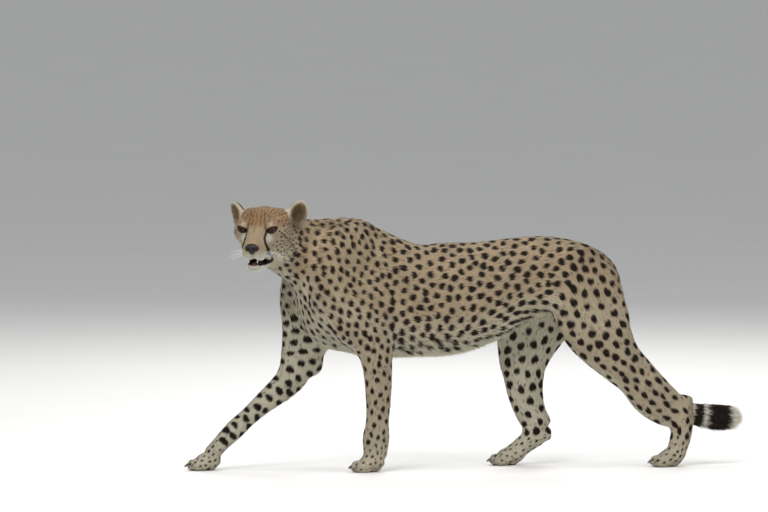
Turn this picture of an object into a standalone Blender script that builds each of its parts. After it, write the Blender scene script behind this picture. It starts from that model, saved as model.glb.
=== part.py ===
# A cheetah as a still, life-size model: walking, head turned to its left.
# Metres. The animal faces -X, its left side is -Y, +Z is up, soles at Z = 0.
# The body is one rounded form, swept and blended from named muscles and bones,
# then cut by thin gaps into head, neck, trunk, legs and tail.
import math
import bpy
import bmesh
import numpy as np
from mathutils import Matrix, Vector

# ---- driving dimensions ----
gap = 0.0004                 # width of the cut between two neighbours
coarseStep = 0.0065          # size of a cell of the field over the body
fineStep = 0.0034            # the same over the head
triangleBudget = 5400        # triangles left in the body after thinning
eyeRadius = 0.0165

head = {"at": (-0.6045, -0.141, 0.689), "yaw": 61.0, "pitch": -4.0}  # midpoint of the eyes, degrees to its left, degrees up

# x, top of the back, underside, half width of the trunk
trunkRows = [(-.432, .628, .432, .056), (-.400, .678, .380, .080), (-.330, .699, .336, .094), (-.225, .658, .315, .102),
             (-.126, .630, .316, .105), (-.030, .634, .321, .102), (.063, .638, .353, .090), (.160, .646, .406, .080),
             (.255, .647, .430, .085), (.330, .628, .436, .086), (.396, .592, .455, .070), (.430, .552, .478, .046)]
# x, y, z of the axis, half depth, half width
neckRows = [(-.330, 0, .567, .118, .080), (-.410, -.002, .598, .108, .072), (-.475, -.010, .622, .088, .066),
            (-.525, -.032, .647, .077, .061), (-.560, -.062, .669, .064, .058)]
tailRows = [(.388, 0, .566, .036, .036), (.424, .004, .536, .028, .028), (.450, .014, .475, .023, .023), (.461, .018, .405, .0215, .0215),
            (.476, .018, .340, .021, .021), (.507, .016, .270, .021, .021), (.557, .014, .207, .022, .022),
            (.610, .012, .165, .025, .025), (.665, .011, .142, .030, .030), (.730, .010, .131, .0325, .0325), (.772, .010, .129, .030, .030)]

# each leg: side (-1 its left), chains of x, y out from the midline, z, half fore-and-aft, half across, and a paw
legs = {
    "foreleg_left": {"side": -1,
        "limb": [(-.318, .046, .662, .045, .018), (-.350, .064, .602, .066, .028), (-.384, .080, .540, .062, .035), (-.374, .084, .490, .068, .037),
                 (-.330, .086, .440, .072, .038), (-.272, .085, .365, .056, .0345), (-.2545, .082, .300, .043, .031),
                 (-.2505, .079, .215, .0365, .0265), (-.2525, .077, .145, .0325, .0235), (-.2565, .076, .095, .0375, .0265), (-.258, .075, .050, .033, .026)],
        "paw": (-.270, .075)},
    "foreleg_right": {"side": 1,
        "limb": [(-.338, .046, .662, .045, .018), (-.380, .064, .602, .066, .028), (-.426, .080, .540, .060, .035), (-.438, .084, .480, .060, .036),
                 (-.431, .086, .405, .060, .038), (-.437, .087, .328, .056, .036), (-.467, .086, .252, .043, .031),
                 (-.545, .084, .184, .0300, .0255), (-.590, .081, .146, .0258, .0230), (-.630, .079, .110, .0272, .0255), (-.662, .078, .079, .0235, .0245),
                 (-.692, .077, .048, .0225, .0250)],
        "paw": (-.706, .077)},
    "hindleg_left": {"side": -1,
        "limb": [(.335, .038, .596, .050, .018), (.340, .062, .530, .090, .036), (.350, .070, .465, .103, .043), (.372, .080, .400, .100, .046),
                 (.399, .088, .350, .083, .045), (.437, .090, .302, .066, .041), (.486, .086, .2545, .058, .034), (.531, .080, .2025, .060, .030),
                 (.576, .076, .167, .054, .027), (.613, .073, .150, .042, .0235)],
        "heel": [(.633, .072, .190, .018, .017), (.6235, .072, .140, .031, .0235), (.6175, .071, .085, .030, .0225), (.606, .070, .042, .027, .024)],
        "paw": (.588, .070)},
    "hindleg_right": {"side": 1,
        "limb": [(.318, .038, .596, .050, .018), (.292, .060, .530, .094, .036), (.258, .072, .455, .104, .043), (.220, .086, .372, .097, .046),
                 (.203, .090, .300, .074, .044), (.202, .088, .250, .059, .038), (.206, .083, .200, .051, .031), (.219, .078, .150, .044, .026), (.240, .075, .110, .040, .0245)],
        "heel": [(.268, .074, .086, .019, .018), (.238, .074, .0835, .031, .0235), (.200, .073, .057, .0275, .0225), (.174, .072, .036, .026, .024)],
        "paw": (.157, .072)},
}

# single muscles and bones: centre, half sizes (fore-and-aft, across, up), how softly they join
bulges = [((-.398, 0, .464), (.058, .078, .084), .040),           # brisket
          ((-.283, -.078, .455), (.066, .034, .090), .035),       # triceps, left
          ((-.392, .078, .400), (.042, .034, .083), .035),        # triceps, right
          ((-.300, -.030, .672), (.044, .018, .022), .030),       # shoulder blade tops
          ((-.325, .030, .672), (.044, .018, .022), .030),
          ((-.402, .084, .296), (.027, .024, .035), .020),        # point of the right elbow
          ((.322, -.050, .594), (.050, .030, .028), .040),        # hips
          ((.305, .050, .594), (.050, .030, .028), .040)]

# head, in forward, left, up from the midpoint of the eyes: centre, half sizes, softness, tilt in degrees; L = both sides
skull = [((-.064, 0, -.002), (.066, .059, .057), .030, 0),         # braincase
         ((-.024, 0, .013), (.040, .050, .034), .030, 22),        # forehead
         ((-.074, 0, -.046), (.058, .050, .050), .030, 0),        # throat
         ((-.012, 0, -.048), (.044, .032, .034), .020, 0)]        # palate
skullPairs = [((-.030, .048, -.010), (.042, .030, .033), .024, 0),   # cheekbone
              ((-.048, .036, -.056), (.038, .024, .036), .025, 0),   # jaw muscle
              ((.002, .026, -.044), (.037, .020, .031), .018, 20),   # face between cheek and muzzle
              ((.037, .0160, -.0615), (.031, .0185, .0220), .012, 0), # whisker pad
              ((-.008, .036, .0165), (.018, .022, .0105), .016, -12),
              ((-.074, .046, .018), (.034, .026, .030), .020, 0)] # brow
noseBridge = [(-.020, 0, -.002, .028, .030), (.012, 0, -.010, .027, .0235), (.040, 0, -.031, .0225, .0205), (.056, 0, -.041, .017, .0185)]
nosePad = ((.060, 0, -.0435), (.0125, .0200, .0135), .006)
jawBone = [(-.045, 0, -.076, .028, .036), (-.005, 0, -.094, .020, .031), (.024, 0, -.1025, .0145, .0265), (.038, 0, -.1020, .0135, .0220)]
mouthGap = ((.048, 0, -.0882), (.044, .036, .0042), .003)
eyeHollow = ((.017, .041, 0), (.011, .0145, .0100), .006)
earShape = {"half": (.016, .0300, .0435), "cup": (.017, .0225, .031), "base": (.019, .0290, .0240)}
# each ear in forward, outward, up: where it springs from, the way it stands and the way it faces
ears = {1: {"root": (-.094, .078, .015), "lean": (-.10, .36, .90), "face": (.82, .57, 0)},
        -1: {"root": (-.094, .078, .011), "lean": (-.12, .48, .84), "face": (.68, .73, 0)}}

colours = {"coat": (0.52, 0.36, 0.19, 1), "pale": (0.74, 0.66, 0.52, 1), "dark": (0.03, 0.022, 0.018, 1), "eye": (0.24, 0.10, 0.03, 1), "claw": (0.10, 0.08, 0.06, 1)}


# ---- the field: distance to the body, negative inside ----
def unit(v):
    v = np.asarray(v, float)
    return v / np.linalg.norm(v)


def smoothCurve(rows, per=5):
    # Catmull-Rom curve through every row, each span split in `per`
    p = np.asarray(rows, float)
    p = np.vstack([2 * p[0] - p[1], p, 2 * p[-1] - p[-2]])
    t = np.arange(per)[:, None] / per
    out = [0.5 * (2 * b + (c - a) * t + (2 * a - 5 * b + 4 * c - d) * t**2 + (3 * b - a - 3 * c + d) * t**3)
           for a, b, c, d in zip(p[:-3], p[1:-2], p[2:-1], p[3:])]
    return np.vstack(out + [p[-2][None]])


def spread(low, high, coarse, fineLow, fineHigh, fine):
    # grid lines along one axis, close together between fineLow and fineHigh
    a = np.linspace(low, fineLow, int(math.ceil((fineLow - low) / coarse)) + 1)
    b = np.linspace(fineLow, fineHigh, int(math.ceil((fineHigh - fineLow) / fine)) + 1)
    c = np.linspace(fineHigh, high, max(int(math.ceil((high - fineHigh) / coarse)), 1) + 1)
    return np.concatenate([a[:-1], b, c[1:]])


def ellipsoidDistance(u, v, w, a, b, c):
    # distance along the ray from the centre to the skin of an ellipsoid
    r = np.sqrt(u * u + v * v + w * w) + 1e-9
    return r * (1 - 1 / (np.sqrt((u / a) ** 2 + (v / b) ** 2 + (w / c) ** 2) + 1e-9))


class Field:
    def __init__(self, axes):
        self.axes = [np.asarray(a, np.float32) for a in axes]
        self.d = np.full([len(a) for a in self.axes], 1.0, np.float32)

    def window(self, low, high):
        return tuple(slice(max(int(np.searchsorted(a, l)) - 1, 0), int(np.searchsorted(a, h)) + 1)
                     for a, l, h in zip(self.axes, low, high))

    def places(self, w, at):
        x, y, z = (a[s] - np.float32(c) for a, s, c in zip(self.axes, w, at))
        return x[:, None, None], y[None, :, None], z[None, None, :]

    def join(self, w, d, soft, carve=False):
        # soft minimum of two distances; carving is the soft maximum with the other one's inside
        sign = -1.0 if carve else 1.0
        a = self.d[w] * sign
        h = np.clip(0.5 + 0.5 * (a - d) / soft, 0, 1)
        self.d[w] = sign * (a + (d - a) * h - soft * h * (1 - h))

    def blob(self, centre, half, soft, turn=None, carve=False):
        turn = np.eye(3) if turn is None else turn
        half = np.asarray(half, float)
        reach = np.abs(turn.T) @ half + soft + 0.015
        w = self.window(np.subtract(centre, reach), np.add(centre, reach))
        x, y, z = self.places(w, centre)
        u, v, q = (x * r[0] + y * r[1] + z * r[2] for r in turn)
        self.join(w, ellipsoidDistance(u, v, q, *half).astype(np.float32), soft, carve)

    def tube(self, rows, soft, side=(0, 1, 0), cap=0.6, pear=0.0):
        # ellipses swept along a curve: half sizes across `side` and along it; pear narrows the underside
        s = smoothCurve(rows)
        points, half = s[:, :3], s[:, 3:5]
        margin = soft + 0.015
        big = half.max() + margin
        whole = self.window(points.min(0) - big, points.max(0) + big)
        own = np.full(self.d[whole].shape, 1.0, np.float32)
        side = unit(side)
        for p0, p1, h0, h1 in zip(points[:-1], points[1:], half[:-1], half[1:]):
            t = p1 - p0
            length = np.linalg.norm(t)
            t = t / length
            b = unit(side - t * (side @ t))
            n = np.cross(b, t)
            r = max(h0.max(), h1.max()) + margin
            w = self.window(np.maximum(np.minimum(p0, p1) - r, points.min(0) - big), np.minimum(np.maximum(p0, p1) + r, points.max(0) + big))
            w = tuple(slice(max(i.start, j.start), min(i.stop, j.stop)) for i, j in zip(w, whole))
            x, y, z = self.places(w, p0)
            along = x * t[0] + y * t[1] + z * t[2]
            k = np.clip(along / length, 0, 1)
            u = x * n[0] + y * n[1] + z * n[2]
            v = x * b[0] + y * b[1] + z * b[2]
            a = h0[0] + (h1[0] - h0[0]) * k
            c = h0[1] + (h1[1] - h0[1]) * k
            v = v / (1 + pear * np.clip(u / a, -1, 1))
            d = ellipsoidDistance(u, v, along - k * length, a, c, np.minimum(a, c) * cap).astype(np.float32)
            inner = tuple(slice(i.start - j.start, i.stop - j.start) for i, j in zip(w, whole))
            own[inner] = np.minimum(own[inner], d)
        self.join(whole, own, soft)


def frameOf(forward, up=(0, 0, 1)):
    # rows forward, left, up of a turned frame
    f = unit(forward)
    left = unit(np.cross(up, f))
    return np.stack([f, left, np.cross(f, left)])


def headFrame():
    yaw, pitch = np.radians(head["yaw"]), np.radians(head["pitch"])
    return frameOf((-np.cos(yaw) * np.cos(pitch), -np.sin(yaw) * np.cos(pitch), np.sin(pitch)))


def onHead(f, l, u):
    return np.asarray(head["at"]) + headFrame().T @ np.array([f, l, u], float)


def tilted(turn, degrees):
    # the same frame with its forward axis raised
    c, s = math.cos(math.radians(degrees)), math.sin(math.radians(degrees))
    return np.stack([turn[0] * c + turn[2] * s, turn[1], turn[2] * c - turn[0] * s])


def earFrame(side):
    # root of one ear, and rows: the way it faces, across, along it
    e = ears[side]
    f, l, u = e["root"]
    turn = headFrame()
    up = unit(turn.T @ (np.array([1, side, 1]) * e["lean"]))
    face = turn.T @ (np.array([1, side, 1]) * e["face"])
    face = unit(face - up * (face @ up))
    return onHead(f, side * l, u), np.stack([face, np.cross(up, face), up])


def buildHead(field):
    turn = headFrame()
    for centre, half, soft, tilt in skull:
        field.blob(onHead(*centre), half, soft, tilted(turn, tilt))
    for side in (1, -1):
        for (f, l, u), half, soft, tilt in skullPairs:
            field.blob(onHead(f, side * l, u), half, soft, tilted(turn, tilt))
    field.tube([(*onHead(*r[:3]), *r[3:]) for r in noseBridge], .016, turn[1])
    field.blob(onHead(*nosePad[0]), nosePad[1], nosePad[2], turn)
    field.tube([(*onHead(*r[:3]), *r[3:]) for r in jawBone], .012, turn[1])
    field.blob(onHead(*mouthGap[0]), mouthGap[1], mouthGap[2], turn, carve=True)
    for side in (1, -1):
        (f, l, u), half, soft = eyeHollow
        field.blob(onHead(f, side * l, u), half, soft, turn, carve=True)
        root, ear = earFrame(side)
        face, _, up = ear
        field.blob(root - up * .004, earShape["base"], .016, ear)
        field.blob(root + up * .012, earShape["half"], .012, ear)
        field.blob(root + up * .025 + face * .018, earShape["cup"], .004, ear, carve=True)


def buildPaw(field, x, y):
    # a round paw on the floor, four toes at its front
    field.blob((x + .002, y, .0265), (.036, .0285, .0235), .014)
    field.blob((x + .004, y, .0125), (.022, .0200, .0160), .006)
    for out, ahead in ((-.0215, .024), (-.0075, .034), (.0075, .034), (.0215, .024)):
        field.blob((x - ahead, y + out, .0150), (.023, .0102, .0180), .005)


def buildBody(field):
    field.tube([(x, 0, (t + b) / 2, (t - b) / 2, w) for x, t, b, w in trunkRows], .001, pear=.13, cap=.5)
    field.tube(neckRows, .05)
    for leg in legs.values():
        for part, soft in (("limb", .040), ("heel", .020)):
            if part in leg:
                field.tube([(x, leg["side"] * y, z, a, b) for x, y, z, a, b in leg[part]], soft)
        buildPaw(field, leg["paw"][0], leg["side"] * leg["paw"][1])
    for centre, half, soft in bulges:
        field.blob(centre, half, soft)
    field.tube(tailRows, .018, cap=1.0)
    buildHead(field)


def untangled(d):
    # where four neighbouring grid points are inside and outside crosswise, take one more inside, so no sheet touches another
    for turn in range(12):
        changed = 0
        for a, b in ((0, 1), (1, 2), (0, 2)):
            low, high = slice(0, -1), slice(1, None)
            corner = []
            for i, j in ((low, low), (high, high), (high, low), (low, high)):
                pick = [slice(None)] * 3
                pick[a], pick[b] = i, j
                corner.append(d[tuple(pick)])
            inside = [c < 0 for c in corner]
            for p, q, r, s in ((0, 1, 2, 3), (2, 3, 0, 1)):
                crossed = inside[p] & inside[q] & ~inside[r] & ~inside[s]
                changed += int(crossed.sum())
                corner[r][crossed] = -.0003
                inside[r] = corner[r] < 0
        if not changed:
            break
    return d


def surfaceNet(d, axes):
    # one point in each cell the skin passes through, one quad across each grid edge it crosses
    inside = d < 0
    size = np.array(d.shape)
    corners = np.array([[i, j, k] for i in (0, 1) for j in (0, 1) for k in (0, 1)])
    edges = [(a, b) for a in range(8) for b in range(a + 1, 8) if np.abs(corners[a] - corners[b]).sum() == 1]
    some = np.zeros(size - 1, bool)
    every = np.ones(size - 1, bool)
    for i, j, k in corners:
        part = inside[i:size[0] - 1 + i, j:size[1] - 1 + j, k:size[2] - 1 + k]
        some |= part
        every &= part
    cells = np.argwhere(some & ~every)
    values = np.stack([d[tuple((cells + c).T)] for c in corners], 1).astype(float)
    places = np.stack([np.stack([np.asarray(axes[k], float)[cells[:, k] + c[k]] for k in range(3)], 1) for c in corners], 1)
    total = np.zeros((len(cells), 3))
    count = np.zeros(len(cells))
    for a, b in edges:
        crossed = (values[:, a] < 0) != (values[:, b] < 0)
        t = np.where(crossed, values[:, a] / np.where(crossed, values[:, a] - values[:, b], 1), 0)[:, None]
        total += (places[:, a] + (places[:, b] - places[:, a]) * t) * crossed[:, None]
        count += crossed
    points = total / count[:, None]
    index = np.full(size - 1, -1, np.int32)
    index[tuple(cells.T)] = np.arange(len(cells))
    quads = []
    for axis, (o1, o2) in enumerate([(1, 2), (2, 0), (0, 1)]):
        low, high = [slice(None)] * 3, [slice(None)] * 3
        low[axis], high[axis] = slice(0, size[axis] - 1), slice(1, size[axis])
        e = np.argwhere(inside[tuple(low)] != inside[tuple(high)])
        e = e[(e[:, o1] > 0) & (e[:, o2] > 0) & (e[:, o1] < size[o1] - 1) & (e[:, o2] < size[o2] - 1)]
        ring = []
        for d1, d2 in ((-1, -1), (0, -1), (0, 0), (-1, 0)):
            q = e.copy()
            q[:, o1] += d1
            q[:, o2] += d2
            ring.append(index[tuple(q.T)])
        quad = np.stack(ring, 1)
        quad[~inside[tuple(e.T)]] = quad[~inside[tuple(e.T)]][:, ::-1]
        quads.append(quad)
    return points, np.vstack(quads)


# ---- blender ----
def clearScene():
    for thing in list(bpy.data.objects):
        bpy.data.objects.remove(thing, do_unlink=True)


def material(name, colour, roughness):
    m = bpy.data.materials.new(name)
    m.use_nodes = True
    shader = m.node_tree.nodes["Principled BSDF"]
    shader.inputs["Base Color"].default_value = colour
    shader.inputs["Roughness"].default_value = roughness
    m.diffuse_color = colour
    return m


def newObject(name, mesh, group, paint=None):
    thing = bpy.data.objects.new(name, mesh)
    group.objects.link(thing)
    if paint is not None:
        mesh.materials.clear()
        mesh.materials.append(paint)
        mesh.polygons.foreach_set("use_smooth", [True] * len(mesh.polygons))
    return thing


def meshOf(name, points, faces):
    mesh = bpy.data.meshes.new(name)
    mesh.from_pydata(np.asarray(points).tolist(), [], [list(f) for f in faces])
    mesh.update()
    return mesh


def applied(thing):
    # the mesh with its modifiers worked in
    bpy.context.view_layer.update()
    graph = bpy.context.evaluated_depsgraph_get()
    mesh = bpy.data.meshes.new_from_object(thing.evaluated_get(graph))
    thing.modifiers.clear()
    thing.data = mesh
    return thing


def slab(bm, at, across, wide, tall):
    # thin box square to `across`, wide from side to side of the animal, added to the cutter mesh
    n = Vector(across).normalized()
    side = (Vector((0, 1, 0)) - n * n.y).normalized()
    turn = Matrix((side, n.cross(side), n)).transposed().to_4x4()
    bmesh.ops.create_cube(bm, size=1, matrix=Matrix.Translation(at) @ turn @ Matrix.Diagonal((wide, tall, gap, 1)))


def ball(bm, at, radius):
    bmesh.ops.create_uvsphere(bm, u_segments=18, v_segments=11, radius=radius, matrix=Matrix.Translation(at))


def clawCone(bm, x, y, z, swell):
    # a short curved claw: one cone leaning forward and down
    turn = Vector((-1, 0, -.55)).normalized().to_track_quat("Z", "Y").to_matrix().to_4x4()
    bmesh.ops.create_cone(bm, cap_ends=True, segments=6, radius1=.0033 + swell, radius2=.0007 + swell, depth=.017 + 2 * swell,
                          matrix=Matrix.Translation((x, y, z)) @ turn)


def build():
    clearScene()
    scene = bpy.context.scene
    animal = bpy.data.collections.new("cheetah")
    tools = bpy.data.collections.new("cutters")
    scene.collection.children.link(animal)
    scene.collection.children.link(tools)
    coat = material("coat", colours["coat"], .85)
    dark = material("dark", colours["dark"], .8)
    glassy = material("eye", colours["eye"], .15)
    horn = material("claw", colours["claw"], .45)

    # the whole body as one closed skin, thinned to few triangles
    field = Field([spread(-.83, .83, coarseStep, -.72, -.44, fineStep), spread(-.24, .16, coarseStep, -.235, 0, fineStep),
                   spread(-.02, .78, coarseStep, .54, .78, fineStep)])
    buildBody(field)
    points, quads = surfaceNet(untangled(field.d), field.axes)
    body = newObject("body", meshOf("body", points, quads), tools)
    thin = body.modifiers.new("thin", "DECIMATE")
    thin.ratio = triangleBudget / (2 * len(quads))
    applied(body)

    # flat soles: what reaches under the floor is cut away
    bm = bmesh.new()
    bm.from_mesh(body.data)
    bmesh.ops.bisect_plane(bm, geom=bm.verts[:] + bm.edges[:] + bm.faces[:], plane_co=(0, 0, 0), plane_no=(0, 0, 1), clear_inner=True)
    rims = [e for e in bm.edges if e.is_boundary]
    bmesh.ops.holes_fill(bm, edges=rims, sides=0)
    bmesh.ops.triangulate(bm, faces=[f for f in bm.faces if len(f.verts) > 4])
    bm.to_mesh(body.data)
    bm.free()

    # eye sockets and claw sockets
    eyes = {"eye_left": Vector(onHead(0, .041, 0)), "eye_right": Vector(onHead(0, -.041, 0))}
    claws = {}
    for key, leg in legs.items():
        for k, (out, ahead) in enumerate(((-.0215, .024), (-.0075, .034), (.0075, .034), (.0215, .024))):
            claws["claw_%s_%d" % (key, k + 1)] = (leg["paw"][0] - ahead - .0235, leg["side"] * leg["paw"][1] + out, .0135)
    bm = bmesh.new()
    for at in eyes.values():
        ball(bm, at, eyeRadius + gap)
    for at in claws.values():
        clawCone(bm, *at, gap)
    for at, across, wide, tall in cutsList():
        slab(bm, at, across, wide, tall)
    mesh = bpy.data.meshes.new("cutter")
    bm.to_mesh(mesh)
    bm.free()
    cutter = newObject("cutter", mesh, tools)
    cutter.hide_render = True
    cutter.display_type = "WIRE"
    m = body.modifiers.new("cut", "BOOLEAN")
    m.operation = "DIFFERENCE"
    m.solver = "EXACT"
    m.use_self = True
    m.object = cutter
    applied(body)

    pieces = loosePieces(body.data)
    for name, points, faces in named(pieces):
        newObject(name, meshOf(name, points, faces), animal, coat)
    for name, at in eyes.items():
        bm = bmesh.new()
        ball(bm, at, eyeRadius)
        mesh = bpy.data.meshes.new(name)
        bm.to_mesh(mesh)
        bm.free()
        newObject(name, mesh, animal, glassy)
    for name, at in claws.items():
        bm = bmesh.new()
        clawCone(bm, *at, 0)
        mesh = bpy.data.meshes.new(name)
        bm.to_mesh(mesh)
        bm.free()
        newObject(name, mesh, animal, horn)
    bpy.data.objects.remove(body, do_unlink=True)
    centreOnFloor(animal)
    return animal


def cutsList():
    # the gaps that divide the body: place, direction across, size of the thin box
    turn = headFrame()
    out = [((-.527, -.034, .645), (-.62, -.68, .38), .26, .26),          # head from neck
           ((-.450, -.016, .618), (-.62, -.35, .70), .30, .29),              # neck from trunk
           ((-.260, -.082, .312), (0, 0, 1), .12, .16),                  # left forearm
           ((-.257, -.076, .078), (0, 0, 1), .09, .10),                  # its paw
           ((-.428, .086, .322), (0, 0, 1), .12, .20),                   # right forearm
           ((-.643, .078, .097), (.70, 0, .71), .09, .09),               # its paw
           ((.355, -.079, .420), (-.29, 0, .957), .134, .27),            # left thigh
           ((.439, -.088, .304), (.76, 0, -.65), .116, .19),             # left shank
           ((.571, -.076, .175), (.79, 0, -.61), .10, .160),             # left foot
           ((.237, .086, .398), (-.21, 0, .978), .12, .27),              # right thigh
           ((.203, .089, .285), (0, 0, 1), .12, .20),                    # right shank
           ((.221, .078, .142), (.35, 0, -.937), .09, .12),              # right foot
           ((.453, .016, .452), (0, 0, 1), .058, .060),                  # tail from rump
           ((.548, .014, .218), (.62, 0, -.78), .07, .07),               # its middle length
           ((.668, .011, .141), (1, 0, -.17), .09, .09)]                 # its end
    for side in (1, -1):
        f, l, u = ears[side]["root"]
        out.append((onHead(f + .010, side * (l - .003), u + .002), turn.T @ np.array([0, side * .94, .35]), .076, .082))
    return out


def anchors():
    # a point near the middle of every sub-part of flesh
    return {"head": onHead(-.03, 0, -.02), "ear_left": onHead(-.10, .085, .050), "ear_right": onHead(-.10, -.085, .050),
            "neck": (-.49, -.01, .63), "trunk": (-.05, 0, .50),
            "foreleg_left": (-.254, -.08, .19), "forepaw_left": (-.27, -.075, .04),
            "foreleg_right": (-.53, .083, .21), "forepaw_right": (-.69, .077, .04),
            "thigh_left": (.38, -.08, .38), "shank_left": (.50, -.085, .25), "hindpaw_left": (.610, -.07, .08),
            "thigh_right": (.22, .085, .35), "shank_right": (.21, .083, .21), "hindpaw_right": (.20, .073, .06),
            "tail_root": (.48, .017, .33), "tail_middle": (.607, .012, .17), "tail_tip": (.73, .010, .132)}


def loosePieces(mesh):
    # closed pieces of a mesh, as point and face arrays
    parent = np.arange(len(mesh.vertices))
    edges = np.zeros(len(mesh.edges) * 2, np.int32)
    mesh.edges.foreach_get("vertices", edges)
    edges = edges.reshape(-1, 2)
    changed = True
    while changed:
        low = np.minimum(parent[edges[:, 0]], parent[edges[:, 1]])
        before = parent.copy()
        np.minimum.at(parent, edges[:, 0], low)
        np.minimum.at(parent, edges[:, 1], low)
        parent = parent[parent]
        changed = not np.array_equal(before, parent)
    co = np.zeros(len(mesh.vertices) * 3)
    mesh.vertices.foreach_get("co", co)
    co = co.reshape(-1, 3)
    groups = {}
    for face in mesh.polygons:
        groups.setdefault(int(parent[face.vertices[0]]), []).append(list(face.vertices))
    out = []
    for faces in groups.values():
        used = sorted({v for f in faces for v in f})
        index = {v: i for i, v in enumerate(used)}
        out.append((co[used], [[index[v] for v in f] for f in faces]))
    return out


def named(pieces):
    # give each closed piece the name of the nearest anchor
    spots = anchors()
    names = list(spots)
    out = []
    for points, faces in pieces:
        middle = (points.min(0) + points.max(0)) / 2
        away = [np.linalg.norm(middle - np.asarray(spots[n])) for n in names]
        out.append((names[int(np.argmin(away))], points, faces))
    out.sort(key=lambda item: names.index(item[0]))
    print("pieces", [(n, len(f), np.round(p.min(0), 3).tolist(), np.round(p.max(0), 3).tolist()) for n, p, f in out])
    assert len({n for n, p, f in out}) == len(out) == len(names), "every sub-part is one closed piece"
    return out


def centreOnFloor(group):
    # move everything so that the middle of the bounding box's underside is the origin
    low, high = np.full(3, 9.0), np.full(3, -9.0)
    for thing in group.objects:
        co = np.zeros(len(thing.data.vertices) * 3)
        thing.data.vertices.foreach_get("co", co)
        low, high = np.minimum(low, co.reshape(-1, 3).min(0)), np.maximum(high, co.reshape(-1, 3).max(0))
    shift = Vector(((low[0] + high[0]) / 2, (low[1] + high[1]) / 2, low[2]))
    print("shift", tuple(round(c, 5) for c in shift), "size", (high - low).round(4).tolist())
    for thing in group.objects:
        thing.data.transform(Matrix.Translation(-shift))


build()
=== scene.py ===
import math
import bpy
import numpy as np
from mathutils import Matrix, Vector
from mathutils.kdtree import KDTree


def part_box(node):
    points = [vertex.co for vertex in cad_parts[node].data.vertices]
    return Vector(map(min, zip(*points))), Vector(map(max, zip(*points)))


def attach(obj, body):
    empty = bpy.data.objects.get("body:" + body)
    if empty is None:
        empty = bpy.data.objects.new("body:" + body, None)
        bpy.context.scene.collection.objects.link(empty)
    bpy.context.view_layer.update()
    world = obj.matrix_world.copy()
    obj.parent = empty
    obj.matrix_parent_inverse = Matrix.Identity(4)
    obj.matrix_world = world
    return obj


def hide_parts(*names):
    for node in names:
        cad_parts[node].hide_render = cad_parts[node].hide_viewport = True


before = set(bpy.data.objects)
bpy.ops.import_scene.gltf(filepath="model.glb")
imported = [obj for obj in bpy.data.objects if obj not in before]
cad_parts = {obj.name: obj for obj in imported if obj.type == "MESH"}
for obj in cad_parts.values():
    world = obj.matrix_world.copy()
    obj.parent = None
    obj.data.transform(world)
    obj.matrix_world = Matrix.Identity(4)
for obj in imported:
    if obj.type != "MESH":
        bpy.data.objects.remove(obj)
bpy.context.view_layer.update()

# A walking cheetah. It faces -X, its left side is -Y, the soles are at Z = 0.
# The body's tables are in the maker's own axes. `shift` takes them to the frame, from where the left eye is.

# midpoint of the eyes, the head's turn and tilt in degrees, and how far each eye is from the midpoint
head = {"at": (-0.6045, -0.141, 0.689), "yaw": 61.0, "pitch": -4.0, "eye": .041}

# x, top of the back, underside, half width of the trunk
trunkRows = [(-.432, .628, .432, .056), (-.400, .678, .380, .080), (-.330, .699, .336, .094),
             (-.225, .658, .315, .102), (-.126, .630, .316, .105), (-.030, .634, .321, .102),
             (.063, .638, .353, .090), (.160, .646, .406, .080), (.255, .647, .430, .085),
             (.330, .628, .436, .086), (.396, .592, .455, .070), (.430, .552, .478, .046)]
# x, y, z of the axis, half depth, half width
neckRows = [(-.330, 0, .567, .118, .080), (-.410, -.002, .598, .108, .072),
            (-.475, -.010, .622, .088, .066), (-.525, -.032, .647, .077, .061),
            (-.560, -.062, .669, .064, .058)]
tailRows = [(.388, 0, .566, .036, .036), (.424, .004, .536, .028, .028), (.450, .014, .475, .023, .023),
            (.461, .018, .405, .0215, .0215), (.476, .018, .340, .021, .021),
            (.507, .016, .270, .021, .021), (.557, .014, .207, .022, .022), (.610, .012, .165, .025, .025),
            (.665, .011, .142, .030, .030), (.730, .010, .131, .0325, .0325),
            (.772, .010, .129, .030, .030)]

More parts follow.
